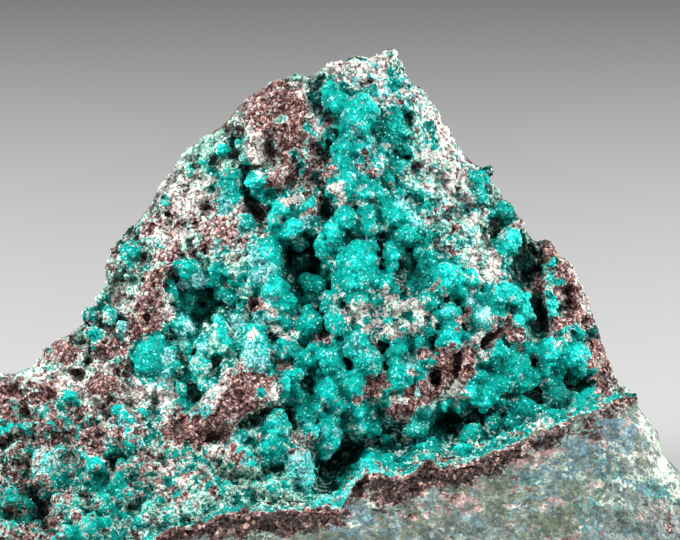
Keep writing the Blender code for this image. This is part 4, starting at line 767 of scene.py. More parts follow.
def broad_depth(points):
    on_slab = inside(points, SLAB_AREA)
    signed = np.where(on_slab, 1.0, -1.0) * distance_to_path(points, RIM, closed=False)
    step = np.clip(signed / RIM_STEP + 1.0, 0.0, 1.0)
    return hollow_surface(points) * (1.0 - step) + slab_surface(points) * step


def rounded_edge(points):
    share = np.clip(distance_to_path(points, OUTLINE, closed=True) / EDGE_ROUNDING_WIDTH, 0.0, 1.0)
    return EDGE_ROUNDING * (1.0 - np.sqrt(1.0 - (1.0 - share) ** 2))


def ground_depth(points):
    """The face with its hollows, knobs and roughness, but without its balls."""
    moved = shaken(points, *GROUND_SHAKE)
    depth = broad_depth(moved) - rounded_edge(points) + ROCK_ROUGHNESS * roughness(points, *ROCK_NOISE)
    ragged = shaken(moved, *HOLE_SHAKE)
    for *ellipse, deep in HOLES + SMALL_HOLES:
        reach = ellipse_distance(ragged, *ellipse) / HOLE_EDGE
        depth -= HOLLOW_SHARE * deep / (1.0 + reach ** WALL_POWER)
    for *ellipse, high in KNOBS + SMALL_KNOBS:
        depth += high / (1.0 + ellipse_distance(moved, *ellipse) ** WALL_POWER)
    return depth


def broken_depth(points, lumpiness):
    """What lumps of uneven height and their gaps add to the face, and the gaps alone."""
    moved = shaken(points, *LUMP_SHAKE)
    gap, mark = cells(flat(moved), LUMP_SIZE, 73)
    opened = smoothstep(fractal(flat(points), 2.0 * LUMP_SIZE, 83, 3), -0.25, 0.25)
    crack = lumpiness * opened * smoothstep(gap, 0.66, 0.90)
    depth = lumpiness * LUMP_RISE * (mark - 0.5) - LUMP_GAP * crack
    ragged = shaken(moved, *GAP_SHAKE)
    for *ellipse, deep in GAPS:
        reach = ellipse_distance(ragged, *ellipse)
        depth -= GAP_SHARE * deep / (1.0 + reach ** GAP_POWER)
        crack = np.maximum(crack, 1.0 / (1.0 + reach ** CRACK_POWER))
    return depth, crack


class Relief:
    """The face sampled on a grid of the sheet, with what it is made of."""

    def __init__(self):
        self.xs = np.arange(*GRID_ACROSS, GRID_STEP)
        self.ys = np.arange(*GRID_DOWN, GRID_STEP)
        x, y = np.meshgrid(self.xs, self.ys)
        self.shape = x.shape
        self.spots = np.stack([x.ravel(), y.ravel()], 1)
        self.within = inside(self.spots, OUTLINE)
        self.edge_distance = distance_to_path(self.spots, OUTLINE, closed=True)
        wanted = self.within | (self.edge_distance < GRID_MARGIN)
        depth = np.full(len(self.spots), OUTSIDE_DEPTH)
        depth[wanted] = ground_depth(self.spots[wanted])
        self.depth = depth.reshape(self.shape)

    def sample(self, table, spots):
        """Reads a table on the grid at any places, smoothly."""
        column = np.clip((spots[:, 0] - self.xs[0]) / GRID_STEP, 0, len(self.xs) - 1.001)
        row = np.clip((spots[:, 1] - self.ys[0]) / GRID_STEP, 0, len(self.ys) - 1.001)
        i = row.astype(int)
        j = column.astype(int)
        v = row - i
        u = column - j
        if table.ndim == 3:
            u = u[:, None]
            v = v[:, None]
        top = table[i, j] * (1 - u) + table[i, j + 1] * u
        bottom = table[i + 1, j] * (1 - u) + table[i + 1, j + 1] * u
        return top * (1 - v) + bottom * v


def lowest_nearby(table, reach):
    """The lowest of a table's values within some samples across and down."""
    result = table.copy()
    for axis in (0, 1):
        source = result.copy()
        for step in range(1, reach + 1):
            beside = np.minimum(np.roll(source, step, axis), np.roll(source, -step, axis))
            result = np.minimum(result, beside)
    return result


def blurred(table, reach):
    """The table after three passes of a moving mean over some samples each way."""
    result = table
    for _ in range(3):
        for axis in (0, 1):
            start = np.zeros_like(result.take([0], axis))
            padded = np.concatenate([start, np.cumsum(result, axis)], axis)
            size = result.shape[axis]
            low = np.clip(np.arange(size) - reach, 0, size)
            high = np.clip(np.arange(size) + reach + 1, 0, size)
            width = (high - low).reshape((-1, 1) if axis == 0 else (1, -1))
            result = (padded.take(high, axis) - padded.take(low, axis)) / width
    return result


def grown(mask, steps):
    """A mask widened by some samples across and down."""
    result = mask.copy()
    for _ in range(steps):
        wider = result.copy()
        wider[1:] |= result[:-1]
        wider[:-1] |= result[1:]
        wider[:, 1:] |= result[:, :-1]
        wider[:, :-1] |= result[:, 1:]
        result = wider
    return result


def ball_template(detail):
    """The corners and triangles of a ball of radius 1."""
    mesh = bmesh.new()
    bmesh.ops.create_icosphere(mesh, subdivisions=detail, radius=1.0)
    corners = np.array([tuple(vert.co) for vert in mesh.verts])
    faces = np.array([[vert.index for vert in face.verts] for face in mesh.faces])
    mesh.free()
    return corners, faces


def many_balls(middles, radii, detail, rng, uneven=0.16):
    """One mesh of many balls, each turned and slightly out of round."""
    corners, faces = ball_template(detail)
    count = len(middles)
    turn = rng.normal(size=(count, 3, 3))
    turn, _ = np.linalg.qr(turn)
    stretch = 1.0 + rng.uniform(-uneven, uneven, size=(count, 1, 3))
    shaped = np.einsum("vk,nkj->nvj", corners, turn) * stretch * radii[:, None, None]
    points = (shaped + middles[:, None, :]).reshape(-1, 3)
    triangles = (faces[None] + (np.arange(count) * len(corners))[:, None, None]).reshape(-1, 3)
    flipped = np.linalg.det(turn) < 0
    triangles = triangles.reshape(count, len(faces), 3)
    triangles[flipped] = triangles[flipped][:, :, ::-1]
    return points, triangles.reshape(-1, 3)


def mesh_of(name, points, faces):
    """A mesh from points and faces with equal numbers of corners."""
    data = bpy.data.meshes.new(name)
    data.vertices.add(len(points))
    data.vertices.foreach_set("co", np.asarray(points, dtype=np.float32).ravel())
    sides = faces.shape[1]
    data.loops.add(faces.size)
    data.loops.foreach_set("vertex_index", faces.astype(np.int32).ravel())
    data.polygons.add(len(faces))
    data.polygons.foreach_set("loop_start", np.arange(0, faces.size, sides, dtype=np.int32))
    data.update(calc_edges=True)
    return data


def applied(data, kind, settings, hidden=None):
    """The mesh after one modifier, which heeds the hidden corners where they are given."""
    body = bpy.data.objects.new("working", data)
    bpy.context.scene.collection.objects.link(body)
    modifier = body.modifiers.new(kind, kind)
    if hidden is not None:
        group = body.vertex_groups.new(name="hidden")
        group.add([int(index) for index in np.nonzero(hidden)[0]], 1.0, "REPLACE")
        modifier.vertex_group = group.name
    for key, value in settings.items():
        setattr(modifier, key, value)
    graph = bpy.context.evaluated_depsgraph_get()
    result = bpy.data.meshes.new_from_object(body.evaluated_get(graph))
    bpy.data.objects.remove(body)
    bpy.data.meshes.remove(data)
    return result


def thinned(data, hidden):
    """The mesh with most of its small faces merged on the side that no one sees."""
    kept = 1.0 - hidden.mean() * (1.0 - HIDDEN_SHARE)
    return applied(data, "DECIMATE", {"ratio": kept}, hidden)


def vectors_of(data, what):
    """The points ("co") or the normals ("normal") of a mesh's corners."""
    values = np.empty(len(data.vertices) * 3, dtype=np.float32)
    data.vertices.foreach_get(what, values)
    return values.reshape(-1, 3).astype(float)


def raised_by_balls(relief, table, balls, lift):
    """A table of depths raised to the front of any ball there."""
    result = table.copy()
    for x, y, radius in balls:
        seat = relief.sample(relief.depth, np.array([[x, y]], dtype=float))[0]
        rows = slice(*np.searchsorted(relief.ys, (y - radius, y + radius)))
        columns = slice(*np.searchsorted(relief.xs, (x - radius, x + radius)))
        across, down = np.meshgrid(relief.xs[columns] - x, relief.ys[rows] - y)
        inner = radius ** 2 - across ** 2 - down ** 2
        front = seat + ((lift - 1.0) * radius + np.sqrt(np.clip(inner, 0.0, None))) * UNIT_MM
        window = result[rows, columns]
        result[rows, columns] = np.where(inner > 0, np.maximum(window, front), window)
    return result


def painted(relief, patches, kinds):
    """The share of each kind of mineral at every sample; later patches cover earlier ones."""
    moved = relief.spots
    for shake in PATCH_SHAKES:
        moved = shaken(moved, *shake)
    shares = np.zeros((len(moved), len(kinds)))
    for kind, *places in patches:
        column = kinds.index(kind)
        for x, y, half_width, half_height, turn, strength in places:
            far = 1.6 * max(half_width, half_height)
            near = np.nonzero((np.abs(moved[:, 0] - x) < far) & (np.abs(moved[:, 1] - y) < far))[0]
            reach = ellipse_distance(moved[near], x, y, half_width, half_height, turn)
            cover = strength * (1.0 - smoothstep(reach, 0.6, 1.4))
            shares[near] *= (1.0 - cover)[:, None]
            shares[near, column] += cover
    return shares.reshape(*relief.shape, len(kinds))


def rounded_back(points):
    """The back with its edge rounded, before it is broken into facets."""
    edge = broad_depth(points) - EDGE_ROUNDING
    share = distance_to_path(points, BACK_OUTLINE, closed=True) / BACK_ROUNDING_WIDTH
    return edge + (back_surface(points) - edge) * np.sqrt(1.0 - (1.0 - np.clip(share, 0.0, 1.0)) ** 2)


def back_depth(relief):
    """The broken back of the rock at every sample, as in the CAD model."""
    middles = np.array(BACK_FACETS, dtype=float)
    touch = rounded_back(middles)
    leans = []
    for step, lean_noise in zip(((FACET_STEP, 0.0), (0.0, FACET_STEP)), LEAN_NOISES):
        lean = (rounded_back(middles + step) - rounded_back(middles - step)) / (2.0 * FACET_STEP)
        leans.append(lean + FACET_TILT * roughness(middles, *lean_noise))
    points = relief.spots
    nearest = np.full(len(points), 1e9)
    for middle in middles:
        nearest = np.minimum(nearest, ((points - middle) ** 2).sum(1))
    planes = 0.0
    total = 0.0
    for middle, height, across, down in zip(middles, touch, *leans):
        offset = points - middle
        weight = np.exp((nearest - (offset ** 2).sum(1)) / FACET_BLEND ** 2)
        planes = planes + weight * (height + offset[:, 0] * across + offset[:, 1] * down)
        total = total + weight
    rough = BACK_ROUGHNESS * roughness(points, *BACK_NOISE)
    broken = FACET_SHARE * planes / total + (1.0 - FACET_SHARE) * rounded_back(points) + rough
    thinnest = broad_depth(points) - EDGE_ROUNDING - LEAST_THICKNESS
    return np.minimum(broken, thinnest).reshape(relief.shape)


def cut_flat(data):
    """Cuts a mesh flat at the base and closes the cut."""
    mesh = bmesh.new()
    mesh.from_mesh(data)
    everything = mesh.verts[:] + mesh.edges[:] + mesh.faces[:]
    bmesh.ops.bisect_plane(mesh, geom=everything, plane_co=(0, 0, 0), plane_no=(0, 0, 1), dist=1e-7,
                           clear_inner=True)
    bmesh.ops.holes_fill(mesh, edges=[edge for edge in mesh.edges if edge.is_boundary], sides=0)
    bmesh.ops.triangulate(mesh, faces=[face for face in mesh.faces if len(face.verts) > 3])
    mesh.to_mesh(data)
    mesh.free()
    return data


def joined(parts):
    """One set of points and triangles from several."""
    points = []
    faces = []
    count = 0
    for some_points, some_faces in parts:
        points.append(some_points)
        faces.append(some_faces + count)
        count += len(some_points)
    return np.concatenate(points), np.concatenate(faces)


class Builder:
    """Makes the visible pieces from the relief."""

    def __init__(self):
        self.relief = relief = Relief()
        self.rng = np.random.default_rng(RANDOM_SEED)
        grid = relief.spots
        self.within = self.on_grid(relief.within)
        self.slab_share = self.on_grid(inside(shaken(grid, *SLAB_SHAKE), SLAB_AREA))
        self.crust_share = self.on_grid(on_crust(shaken(grid, *CRUST_SHAKE))) & self.within & ~self.slab_share
        self.back = back_depth(relief)
        self.shares = painted(relief, PATCHES, KINDS)
        self.slab_shares = painted(relief, SLAB_PATCHES, SLAB_KINDS)
        self.add_fringe(grid)
        self.solid_brown = self.shares[..., KINDS.index("brown")] > SOLID_BROWN
        open_rock = self.within & ~self.crust_share & ~self.slab_share & ~self.solid_brown
        lumpiness = 1.0 * open_rock + CRUST_LUMPINESS * self.crust_share + BROWN_LUMPINESS * self.solid_brown
        lumpiness = blurred(np.where(self.slab_share | (self.fringe > 0.3), 0.0, lumpiness), 2)
        broken, crack = broken_depth(grid, lumpiness.ravel())
        self.crack = self.on_grid(crack)
        relief.bare = (relief.depth - CREVICE_DEPTH * blurred(self.crust_share.astype(float), 1)
                       - PORE_DEPTH * blurred(open_rock.astype(float), 1) + self.on_grid(broken))
        self.fill_below_rim(grid)
        relief.full = raised_by_balls(relief, relief.bare, CRUST_BALLS + ROCK_BALLS, BALL_LIFT)
        relief.full = raised_by_balls(relief, relief.full, SMALL_CRUST_BALLS + SMALL_ROCK_BALLS, BALL_LIFT)
        self.level = self.smoothed(relief.full)
        self.ground = relief.full.copy()
        self.seats = [self.raise_lobe(*lobe) for lobe in LOBES]
        self.level = self.smoothed(relief.full)
        self.sheet_back = np.maximum(lowest_nearby(relief.bare, 5) - SHEET_THICKNESS, self.back)
        self.hidden_level = lowest_nearby(relief.bare, 4) - 0.3
        self.edge_distance = np.where(self.within, self.on_grid(relief.edge_distance), 0.0)

    def on_grid(self, values):
        return values.reshape(self.relief.shape)

    def add_fringe(self, grid):
        """Colours the teal grains along the slab's rim, and the brown of rock that reaches over it."""
        away = self.on_grid(distance_to_path(shaken(grid, *FRINGE_SHAKE), RIM, closed=False))
        self.fringe = np.where(self.slab_share, 0.0, 0.9 * (1.0 - smoothstep(away, 5.0, 12.0)))
        fringe = self.fringe[..., None]
        listed = np.array([FRINGE_SHARES[kind] for kind in KINDS])
        self.shares = self.shares * (1.0 - fringe) + fringe * listed
        over = 0.9 * np.array([kind == "brown" for kind in KINDS])
        self.shares = np.where(self.slab_share[..., None], over, self.shares)

    def fill_below_rim(self, grid):
        """Fills the foot of the slab's rim, so that the crust falls away from it at a slope."""
        reach = ellipse_distance(grid, *MAIN_HOLLOW)
        share = 1.0 - smoothstep(reach, *HOLLOW_EDGE)
        steepness = RIM_FILLET * (1.0 + (HOLLOW_STEEPNESS - 1.0) * share)
        by_rim = slab_surface(grid) - RIM_STEP_DOWN - steepness * distance_to_path(grid, RIM, closed=False)
        beside = self.within & ~self.slab_share & (self.on_grid(grid[:, 0]) > RIM_START)
        bare = self.relief.bare
        self.relief.bare = np.where(beside, np.maximum(bare, self.on_grid(by_rim)), bare)

    def smoothed(self, depth):
        """A table of depths evened out over 20 units or so, within the outline."""
        level = blurred(np.where(self.within, depth, 0.0), 9)
        return level / np.maximum(blurred(self.within.astype(float), 9), 0.05)

    def raise_lobe(self, x, y, half_width, half_height, turn):
        """Raises the finished face to a lobe's front; gives its middle's depth and half thickness in mm."""
        thick = LOBE_THICKNESS * min(half_width, half_height) * UNIT_MM
        reach = self.on_grid(ellipse_distance(self.relief.spots, x, y, half_width, half_height, turn))
        covered = reach < 1.0
        level = self.relief.sample(self.level, np.array([[x, y]], dtype=float))[0]
        seat = min(level - LOBE_SUNK * thick, self.ground[covered].mean() + LOBE_SEAT * thick)
        front = seat + thick * np.sqrt(np.clip(1.0 - reach ** 2, 0.0, None))
        self.relief.full = np.where(covered, np.maximum(self.relief.full, front), self.relief.full)
        return seat, thick

    def lobes(self, wanted):
        """A mesh for each lobe whose middle is where the mask holds."""
        corners, faces = ball_template(4)
        parts = []
        for (x, y, half_width, half_height, turn), (seat, thick) in zip(LOBES, self.seats):
            spot = np.array([[x, y]], dtype=float)
            if self.relief.sample(wanted.astype(float), spot)[0] > 0.5:
                angle = math.radians(turn)
                along = math.cos(angle) * VIEW_RIGHT - math.sin(angle) * VIEW_UP
                down = -math.sin(angle) * VIEW_RIGHT - math.cos(angle) * VIEW_UP
                axes = np.stack([along * half_width * UNIT, down * half_height * UNIT,
                                 TO_VIEWER * thick * MM])
                turned = faces if np.linalg.det(axes) > 0 else faces[:, ::-1]
                parts.append((place(spot, np.array([seat])) + corners @ axes, turned))
        return parts

    def sheet(self, mask, depth, back):
        """A thick sheet between two tables of depths, over the cells where the mask holds."""
        front = place(self.relief.spots, depth.ravel())
        rear = place(self.relief.spots, back.ravel())
        low = self.on_grid(front[:, 2] > LOWEST_POINT)
        cell_mask = mask[:-1, :-1] & mask[1:, 1:] & mask[:-1, 1:] & mask[1:, :-1] & low[:-1, :-1]
        width = self.relief.shape[1]
        rows, columns = np.nonzero(cell_mask)
        first = rows * width + columns
        quads = np.stack([first, first + width, first + width + 1, first + 1], 1)
        used = np.unique(quads)
        renumber = np.full(self.relief.depth.size, -1)
        renumber[used] = np.arange(len(used))
        quads = renumber[quads]
        count = len(used)
        walls = []
        padded = np.pad(cell_mask, 1)
        sides = (((0, -1), 0, 1), ((1, 0), 1, 2), ((0, 1), 2, 3), ((-1, 0), 3, 0))
        for (down, across), left, right in sides:
            is_open = ~padded[rows + 1 + down, columns + 1 + across]
            start = quads[is_open, left]
            end = quads[is_open, right]
            walls.append(np.stack([end, start, start + count, end + count], 1))
        faces = np.concatenate([quads, quads[:, ::-1] + count] + walls)
        triangles = np.concatenate([faces[:, :3], faces[:, [0, 2, 3]]])
        return np.concatenate([front[used], rear[used]]), triangles

    def buried(self, spots, depth, width):
        """Whether points lie behind the face, where no one sees them, and that far in from the outline."""
        inner = self.relief.sample(self.edge_distance, spots) > width
        return (depth < self.relief.sample(self.hidden_level, spots)) & inner

    def balls(self, wanted, named, lift):
        """Named balls whose middles are where the mask holds."""
        table = np.array(named, dtype=float)
        keep = self.relief.sample(wanted.astype(float), table[:, :2]) > 0.5
        table = table[keep]
        seat = self.relief.sample(self.relief.depth, table[:, :2])
        return place(table[:, :2], seat + (lift - 1.0) * table[:, 2] * UNIT_MM), table[:, 2] * UNIT

    def scattered(self, wanted, count, smallest, largest, lift, sunk):
        """Small balls strewn where the mask holds, some of them sunk deeper by up to sunk millimetres."""
        rows, columns = np.nonzero(wanted & (self.relief.full > self.level - 0.45))
        pick = self.rng.integers(0, len(rows), count)
        spots = np.stack([self.relief.xs[columns[pick]], self.relief.ys[rows[pick]]], 1)
        spots += self.rng.uniform(-1.0, 1.0, spots.shape)
        radii = smallest + (largest - smallest) * self.rng.random(count) ** 1.8
        seat = self.relief.sample(self.relief.full, spots) - sunk * self.rng.random(count)
        return place(spots, seat + (lift - 1.0) * radii * UNIT_MM), radii * UNIT

    def on_balls(self, middles, radii, each):
        """Smaller balls over the near sides of big ones."""
        count = len(middles) * each
        aim = self.rng.normal(size=(count, 3)) + TO_VIEWER * 0.7
        aim /= np.linalg.norm(aim, axis=1)[:, None]
        big = np.repeat(radii, each)
        small = np.clip(big * self.rng.uniform(0.22, 0.55, count), 0.00012, 0.00040)
        return np.repeat(middles, each, axis=0) + aim * (big - small * 0.5)[:, None], small


class Shading:
    """A mineral's material under construction."""

    def __init__(self, name, specular):
        self.material = bpy.data.materials.new(name)
        self.material.use_nodes = True
        self.tree = self.material.node_tree
        self.shader = self.tree.nodes["Principled BSDF"]
        self.shader.inputs["Specular IOR Level"].default_value = specular
        self.where = self.node("ShaderNodeTexCoord").outputs["Object"]

    def node(self, kind, **settings):
        result = self.tree.nodes.new(kind)
        for key, value in settings.items():
            setattr(result, key, value)
        return result

    def feed(self, socket, value):
        if isinstance(value, bpy.types.NodeSocket):
            self.tree.links.new(value, socket)
        elif isinstance(value, tuple):
            socket.default_value = (*value, 1.0)
        else:
            socket.default_value = value

    def arithmetic(self, operation, first, second=0.0, third=0.0, clamp=False):
        node = self.node("ShaderNodeMath", operation=operation, use_clamp=clamp)
        for socket, value in zip(node.inputs, (first, second, third)):
            self.feed(socket, value)
        return node.outputs[0]

    def weighted(self, base, *terms, clamp=False):
        """A number plus values times their weights, kept between 0 and 1 if clamp is true."""
        total = base
        for count, (value, weight) in enumerate(terms, 1):
            total = self.arithmetic("MULTIPLY_ADD", value, weight, total, clamp and count == len(terms))
        return total

    def blend(self, share, first, second, how="MIX"):
        node = self.node("ShaderNodeMix", data_type="RGBA", blend_type=how)
        self.feed(node.inputs[0], share)
        self.feed(node.inputs[6], first)
        self.feed(node.inputs[7], second)
        return node.outputs[2]

    def measure(self, name):
        return self.node("ShaderNodeAttribute", attribute_name=name).outputs["Fac"]

    def cloud(self, size, detail=3.0, roughness=0.6):
        """Soft noise whose features are size millimetres."""
        node = self.node("ShaderNodeTexNoise")
        self.feed(node.inputs["Vector"], self.where)
        self.feed(node.inputs["Scale"], 1.0 / (size * MM))
        self.feed(node.inputs["Detail"], detail)
        self.feed(node.inputs["Roughness"], roughness)
        return node

    def grains(self, size, ragged):
        """Random numbers in three channels for each grain of a size in millimetres."""
        pushed = self.node("ShaderNodeVectorMath", operation="MULTIPLY_ADD")
        self.feed(pushed.inputs[0], self.cloud(size * 0.7, 2.0).outputs["Color"])
        pushed.inputs[1].default_value = (ragged * size * MM,) * 3
        self.feed(pushed.inputs[2], self.where)
        node = self.node("ShaderNodeTexVoronoi")
        self.feed(node.inputs["Vector"], pushed.outputs[0])
        self.feed(node.inputs["Scale"], 1.0 / (size * MM))
        split = self.node("ShaderNodeSeparateColor")
        self.feed(split.inputs[0], node.outputs["Color"])
        return split.outputs

    def ramp(self, value, low, high, shape="LINEAR"):
        """0 below low, 1 above high."""
        node = self.node("ShaderNodeMapRange", clamp=True, interpolation_type=shape)
        self.feed(node.inputs[0], value)
        self.feed(node.inputs[1], low)
        self.feed(node.inputs[2], high)
        return node.outputs[0]

    def shades(self, value, *stops):
        """A colour ramp through (position, colour) stops."""
        node = self.node("ShaderNodeValToRGB")
        elements = node.color_ramp.elements
        while len(elements) < len(stops):
            elements.new(0.5)
        for element, (position, colour) in zip(elements, stops):
            element.position = position
            element.color = (*colour, 1.0)
        self.feed(node.inputs[0], value)
        return node.outputs[0]

    def chosen(self, kind, pick, sharpness):
        """Whether a grain with a random number belongs to a kind or to one that is counted before it."""
        reach = self.weighted(-0.05, (self.measure("to_" + kind), 1.1))
        return self.weighted(0.5, (self.arithmetic("SUBTRACT", reach, pick), sharpness), clamp=True)

    def finish(self, colour, rough, bump_height, bump_size):
        self.feed(self.shader.inputs["Base Color"], colour)
        self.feed(self.shader.inputs["Roughness"], rough)
        bump = self.node("ShaderNodeBump")
        bump.inputs["Strength"].default_value = 0.6
        bump.inputs["Distance"].default_value = bump_height * MM
        self.feed(bump.inputs["Height"], self.cloud(bump_size, 3.0).outputs["Fac"])
        self.feed(self.shader.inputs["Normal"], bump.outputs[0])
        return self.material


# How much of each mineral the grains along the slab's rim are
FRINGE_SHARES = {"teal": 0.62, "brown": 0.10, "pale": 0.03, "mint": 0.18, "cyan": 0.07, "deep": 0.0}

# The colours of the face's minerals, from their dark grains to their light ones; the teal's ramp also carries
# painted light and shade, lighter on raised places
FACE_SHADES = {
    "teal": ((0.0, (0.0, 0.035, 0.029)), (0.25, (0.0, 0.105, 0.089)), (0.5, (0.0, 0.212, 0.180)),
             (0.8, (0.0, 0.33, 0.282)), (0.95, (0.0, 0.44, 0.39)), (1.0, (0.02, 0.61, 0.55))),
    "cyan": ((0.0, (0.01, 0.12, 0.115)), (0.35, (0.06, 0.36, 0.35)), (0.7, (0.32, 0.66, 0.67)),
             (1.0, (0.72, 0.92, 0.91))),
    "mint": ((0.0, (0.03, 0.10, 0.08)), (0.3, (0.13, 0.36, 0.29)), (0.6, (0.42, 0.68, 0.56)),
             (0.9, (0.80, 0.92, 0.84))),
    "pale": ((0.0, (0.07, 0.06, 0.06)), (0.25, (0.32, 0.29, 0.285)), (0.5, (0.66, 0.64, 0.625)),
             (0.85, (0.88, 0.90, 0.88))),
    "brown": ((0.0, (0.012, 0.006, 0.006)), (0.25, (0.085, 0.041, 0.040)), (0.5, (0.23, 0.132, 0.128)),
              (0.75, (0.50, 0.345, 0.33)), (1.0, (0.90, 0.76, 0.71))),
}
FACE_TINTS = {
    "pale": ((0.1, (1.0, 0.80, 0.77)), (0.5, (0.92, 0.93, 0.90)), (0.9, (0.78, 0.94, 0.86))),
    "brown": ((0.1, (1.06, 0.86, 0.72)), (0.5, (1.0, 1.0, 0.98)), (0.9, (0.92, 1.0, 1.08))),
}
# The colour of painted glints: bright specks painted on raised grains in place of sparkle
PAINTED_GLINT = (0.33, 0.86, 0.82)

# The same for the slab: its plain rock, and how far each kind's dark and light grains lie from the middle
SLAB_SHADES = ((0.1, (0.035, 0.055, 0.052)), (0.5, (0.125, 0.17, 0.155)), (0.9, (0.36, 0.42, 0.39)))
SLAB_KIND_SHADES = (
    ("olive", 0.4, (0.035, 0.048, 0.028), (0.12, 0.14, 0.090), (0.30, 0.33, 0.23)),
    ("blue", 0.4, (0.030, 0.068, 0.085), (0.10, 0.19, 0.22), (0.32, 0.45, 0.51)),
    ("sea", 0.4, (0.008, 0.055, 0.058), (0.03, 0.17, 0.17), (0.15, 0.42, 0.40)),
    ("cream", 0.4, (0.20, 0.25, 0.20), (0.46, 0.52, 0.43), (0.90, 0.92, 0.80)),
    ("rose", 0.4, (0.085, 0.050, 0.050), (0.29, 0.19, 0.175), (0.75, 0.57, 0.50)),
    ("rim", 0.24, (0.010, 0.003, 0.003), (0.105, 0.052, 0.044), (0.64, 0.42, 0.35)),
)

# The broken rock of the back: plain, stained green and rusty
BROWN_ROCK = ((0.1, (0.018, 0.010, 0.008)), (0.45, (0.075, 0.038, 0.028)), (0.75, (0.17, 0.092, 0.065)),
              (0.95, (0.34, 0.23, 0.18)))
STAINED_ROCK = ((0.1, (0.06, 0.09, 0.08)), (0.5, (0.17, 0.26, 0.23)), (0.9, (0.42, 0.48, 0.42)))
RUSTY_ROCK = ((0.1, (0.06, 0.022, 0.008)), (0.6, (0.24, 0.10, 0.035)), (0.95, (0.45, 0.25, 0.11)))


def face_mineral(name, specular, dullness, recess_shade_tint, crack_shade_tint):
    """The minerals of the hollow face: each grain is one kind, chosen by the shares at its place, with
    painted light and glints on raised places and painted shade in recesses and cracks.
    """
    mat = Shading(name, specular)
    fine = mat.grains(0.13, 0.8)
    middling = mat.grains(0.24, 0.9)
    coarse = mat.grains(0.52, 1.1)
    painted_glint_grains = mat.grains(0.10, 0.8)
    pick = mat.weighted(0.0, (fine[0], 0.08), (middling[0], 0.22), (coarse[0], 0.40),
                        (mat.measure("grain"), 0.30))
    pick = mat.ramp(pick, 0.21, 0.79, "SMOOTHSTEP")
    cloud = mat.cloud(1.1, 4.0, 0.6).outputs["Fac"]
    # Painted shade: grains near the gaps ("pit") are darkened
    tone = mat.weighted(-0.22, (mat.measure("shade"), 0.38), (fine[1], 0.40), (coarse[1], 0.22), (cloud, 0.7),
                        (mat.measure("pit"), -0.4), clamp=True)
    # Painted light and shade: the teal is lighter where the face stands out and darker where it lies below
    # its local level ("height")
    height = mat.measure("height")
    tone_with_painted_light = mat.weighted(-0.275, (height, 1.0), (tone, 0.55), clamp=True)
    # Painted glints: a few fine grains on raised places are painted bright
    painted_glint = mat.arithmetic("MULTIPLY", mat.ramp(painted_glint_grains[2], 0.962, 0.972), mat.ramp(height, 0.25, 0.5))
    colour = mat.blend(painted_glint, mat.shades(tone_with_painted_light, *FACE_SHADES["teal"]), PAINTED_GLINT)
    for kind in ("cyan", "mint", "pale", "brown"):
        shade = mat.shades(tone, *FACE_SHADES[kind])
        if kind in FACE_TINTS:
            shade = mat.blend(1.0, shade, mat.shades(middling[1], *FACE_TINTS[kind]), "MULTIPLY")
        colour = mat.blend(mat.chosen(kind, pick, 5.5), colour, shade)
    # Painted shade: recesses ("deep") and the cracks between grains are darkened by their tints
    for measure, strength, tint in (("deep", 0.8, recess_shade_tint), ("crack", 0.9, crack_shade_tint)):
        cover = mat.arithmetic("MULTIPLY", mat.measure(measure), strength)
        colour = mat.blend(cover, colour, mat.blend(1.0, colour, tint, "MULTIPLY"))
    rough = mat.weighted(dullness, (mat.measure("to_pale"), 0.3), (fine[1], 0.3), clamp=True)
    return mat.finish(colour, rough, 0.03, 0.10)


def slab_mineral():
    """Massive chrysocolla: grey rock with olive, blue and rose grains, and a brown rim."""
    mat = Shading("massive_chrysocolla", 0.4)
    fine = mat.grains(0.13, 0.9)
    middling = mat.grains(0.30, 1.2)
    coarse = mat.grains(0.60, 1.4)
    pick = mat.weighted(0.0, (fine[0], 0.12), (middling[0], 0.33), (coarse[0], 0.55))
    pick = mat.ramp(pick, 0.17, 0.83, "SMOOTHSTEP")
    cloud = mat.cloud(1.3, 3.0, 0.55).outputs["Fac"]
    # Painted shade: grains near the gaps ("pit") are darkened
    tone = mat.weighted(-0.41, (middling[1], 0.28), (fine[1], 0.20), (coarse[1], 0.26), (cloud, 0.9),
                        (mat.measure("pit"), -0.2), clamp=True)
    colour = mat.shades(tone, *SLAB_SHADES)
    for kind, spread, dark, middle, light in SLAB_KIND_SHADES:
        shade = mat.shades(tone, (0.5 - spread, dark), (0.5, middle), (0.5 + spread, light))
        colour = mat.blend(mat.chosen(kind, pick, 5.0), colour, shade)
    return mat.finish(colour, mat.weighted(0.5, (fine[2], 0.3)), 0.02, 0.2)


def rock_mineral():
    """The plain broken gossan of the back and sides."""
    mat = Shading("broken_gossan", 0.3)
    coarse = mat.grains(0.5, 1.3)
    fine = mat.grains(0.2, 1.0)
    cloud = mat.cloud(3.5, 5.0, 0.65).outputs["Fac"]
    tone = mat.weighted(0.0, (coarse[1], 0.45), (fine[1], 0.3), (cloud, 0.25))
    patch = mat.weighted(0.0, (mat.cloud(6.0, 4.0, 0.6).outputs["Fac"], 1.0), (coarse[2], 0.16))
    colour = mat.shades(tone, *BROWN_ROCK)
    colour = mat.blend(mat.ramp(patch, 0.58, 0.70), colour, mat.shades(tone, *STAINED_ROCK))
    seam = mat.node("ShaderNodeSeparateColor")
    mat.feed(seam.inputs[0], mat.cloud(4.0, 5.0, 0.7).outputs["Color"])
    colour = mat.blend(mat.ramp(seam.outputs[1], 0.56, 0.66), colour, mat.shades(tone, *RUSTY_ROCK))
    return mat.finish(colour, mat.weighted(0.7, (fine[2], 0.2)), 0.05, 0.3)


def add_piece(name, data, material, node):
    body = bpy.data.objects.new(name, data)
    bpy.context.scene.collection.objects.link(body)
    data.materials.append(material)
    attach(body, "root")
    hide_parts(node)
    return body


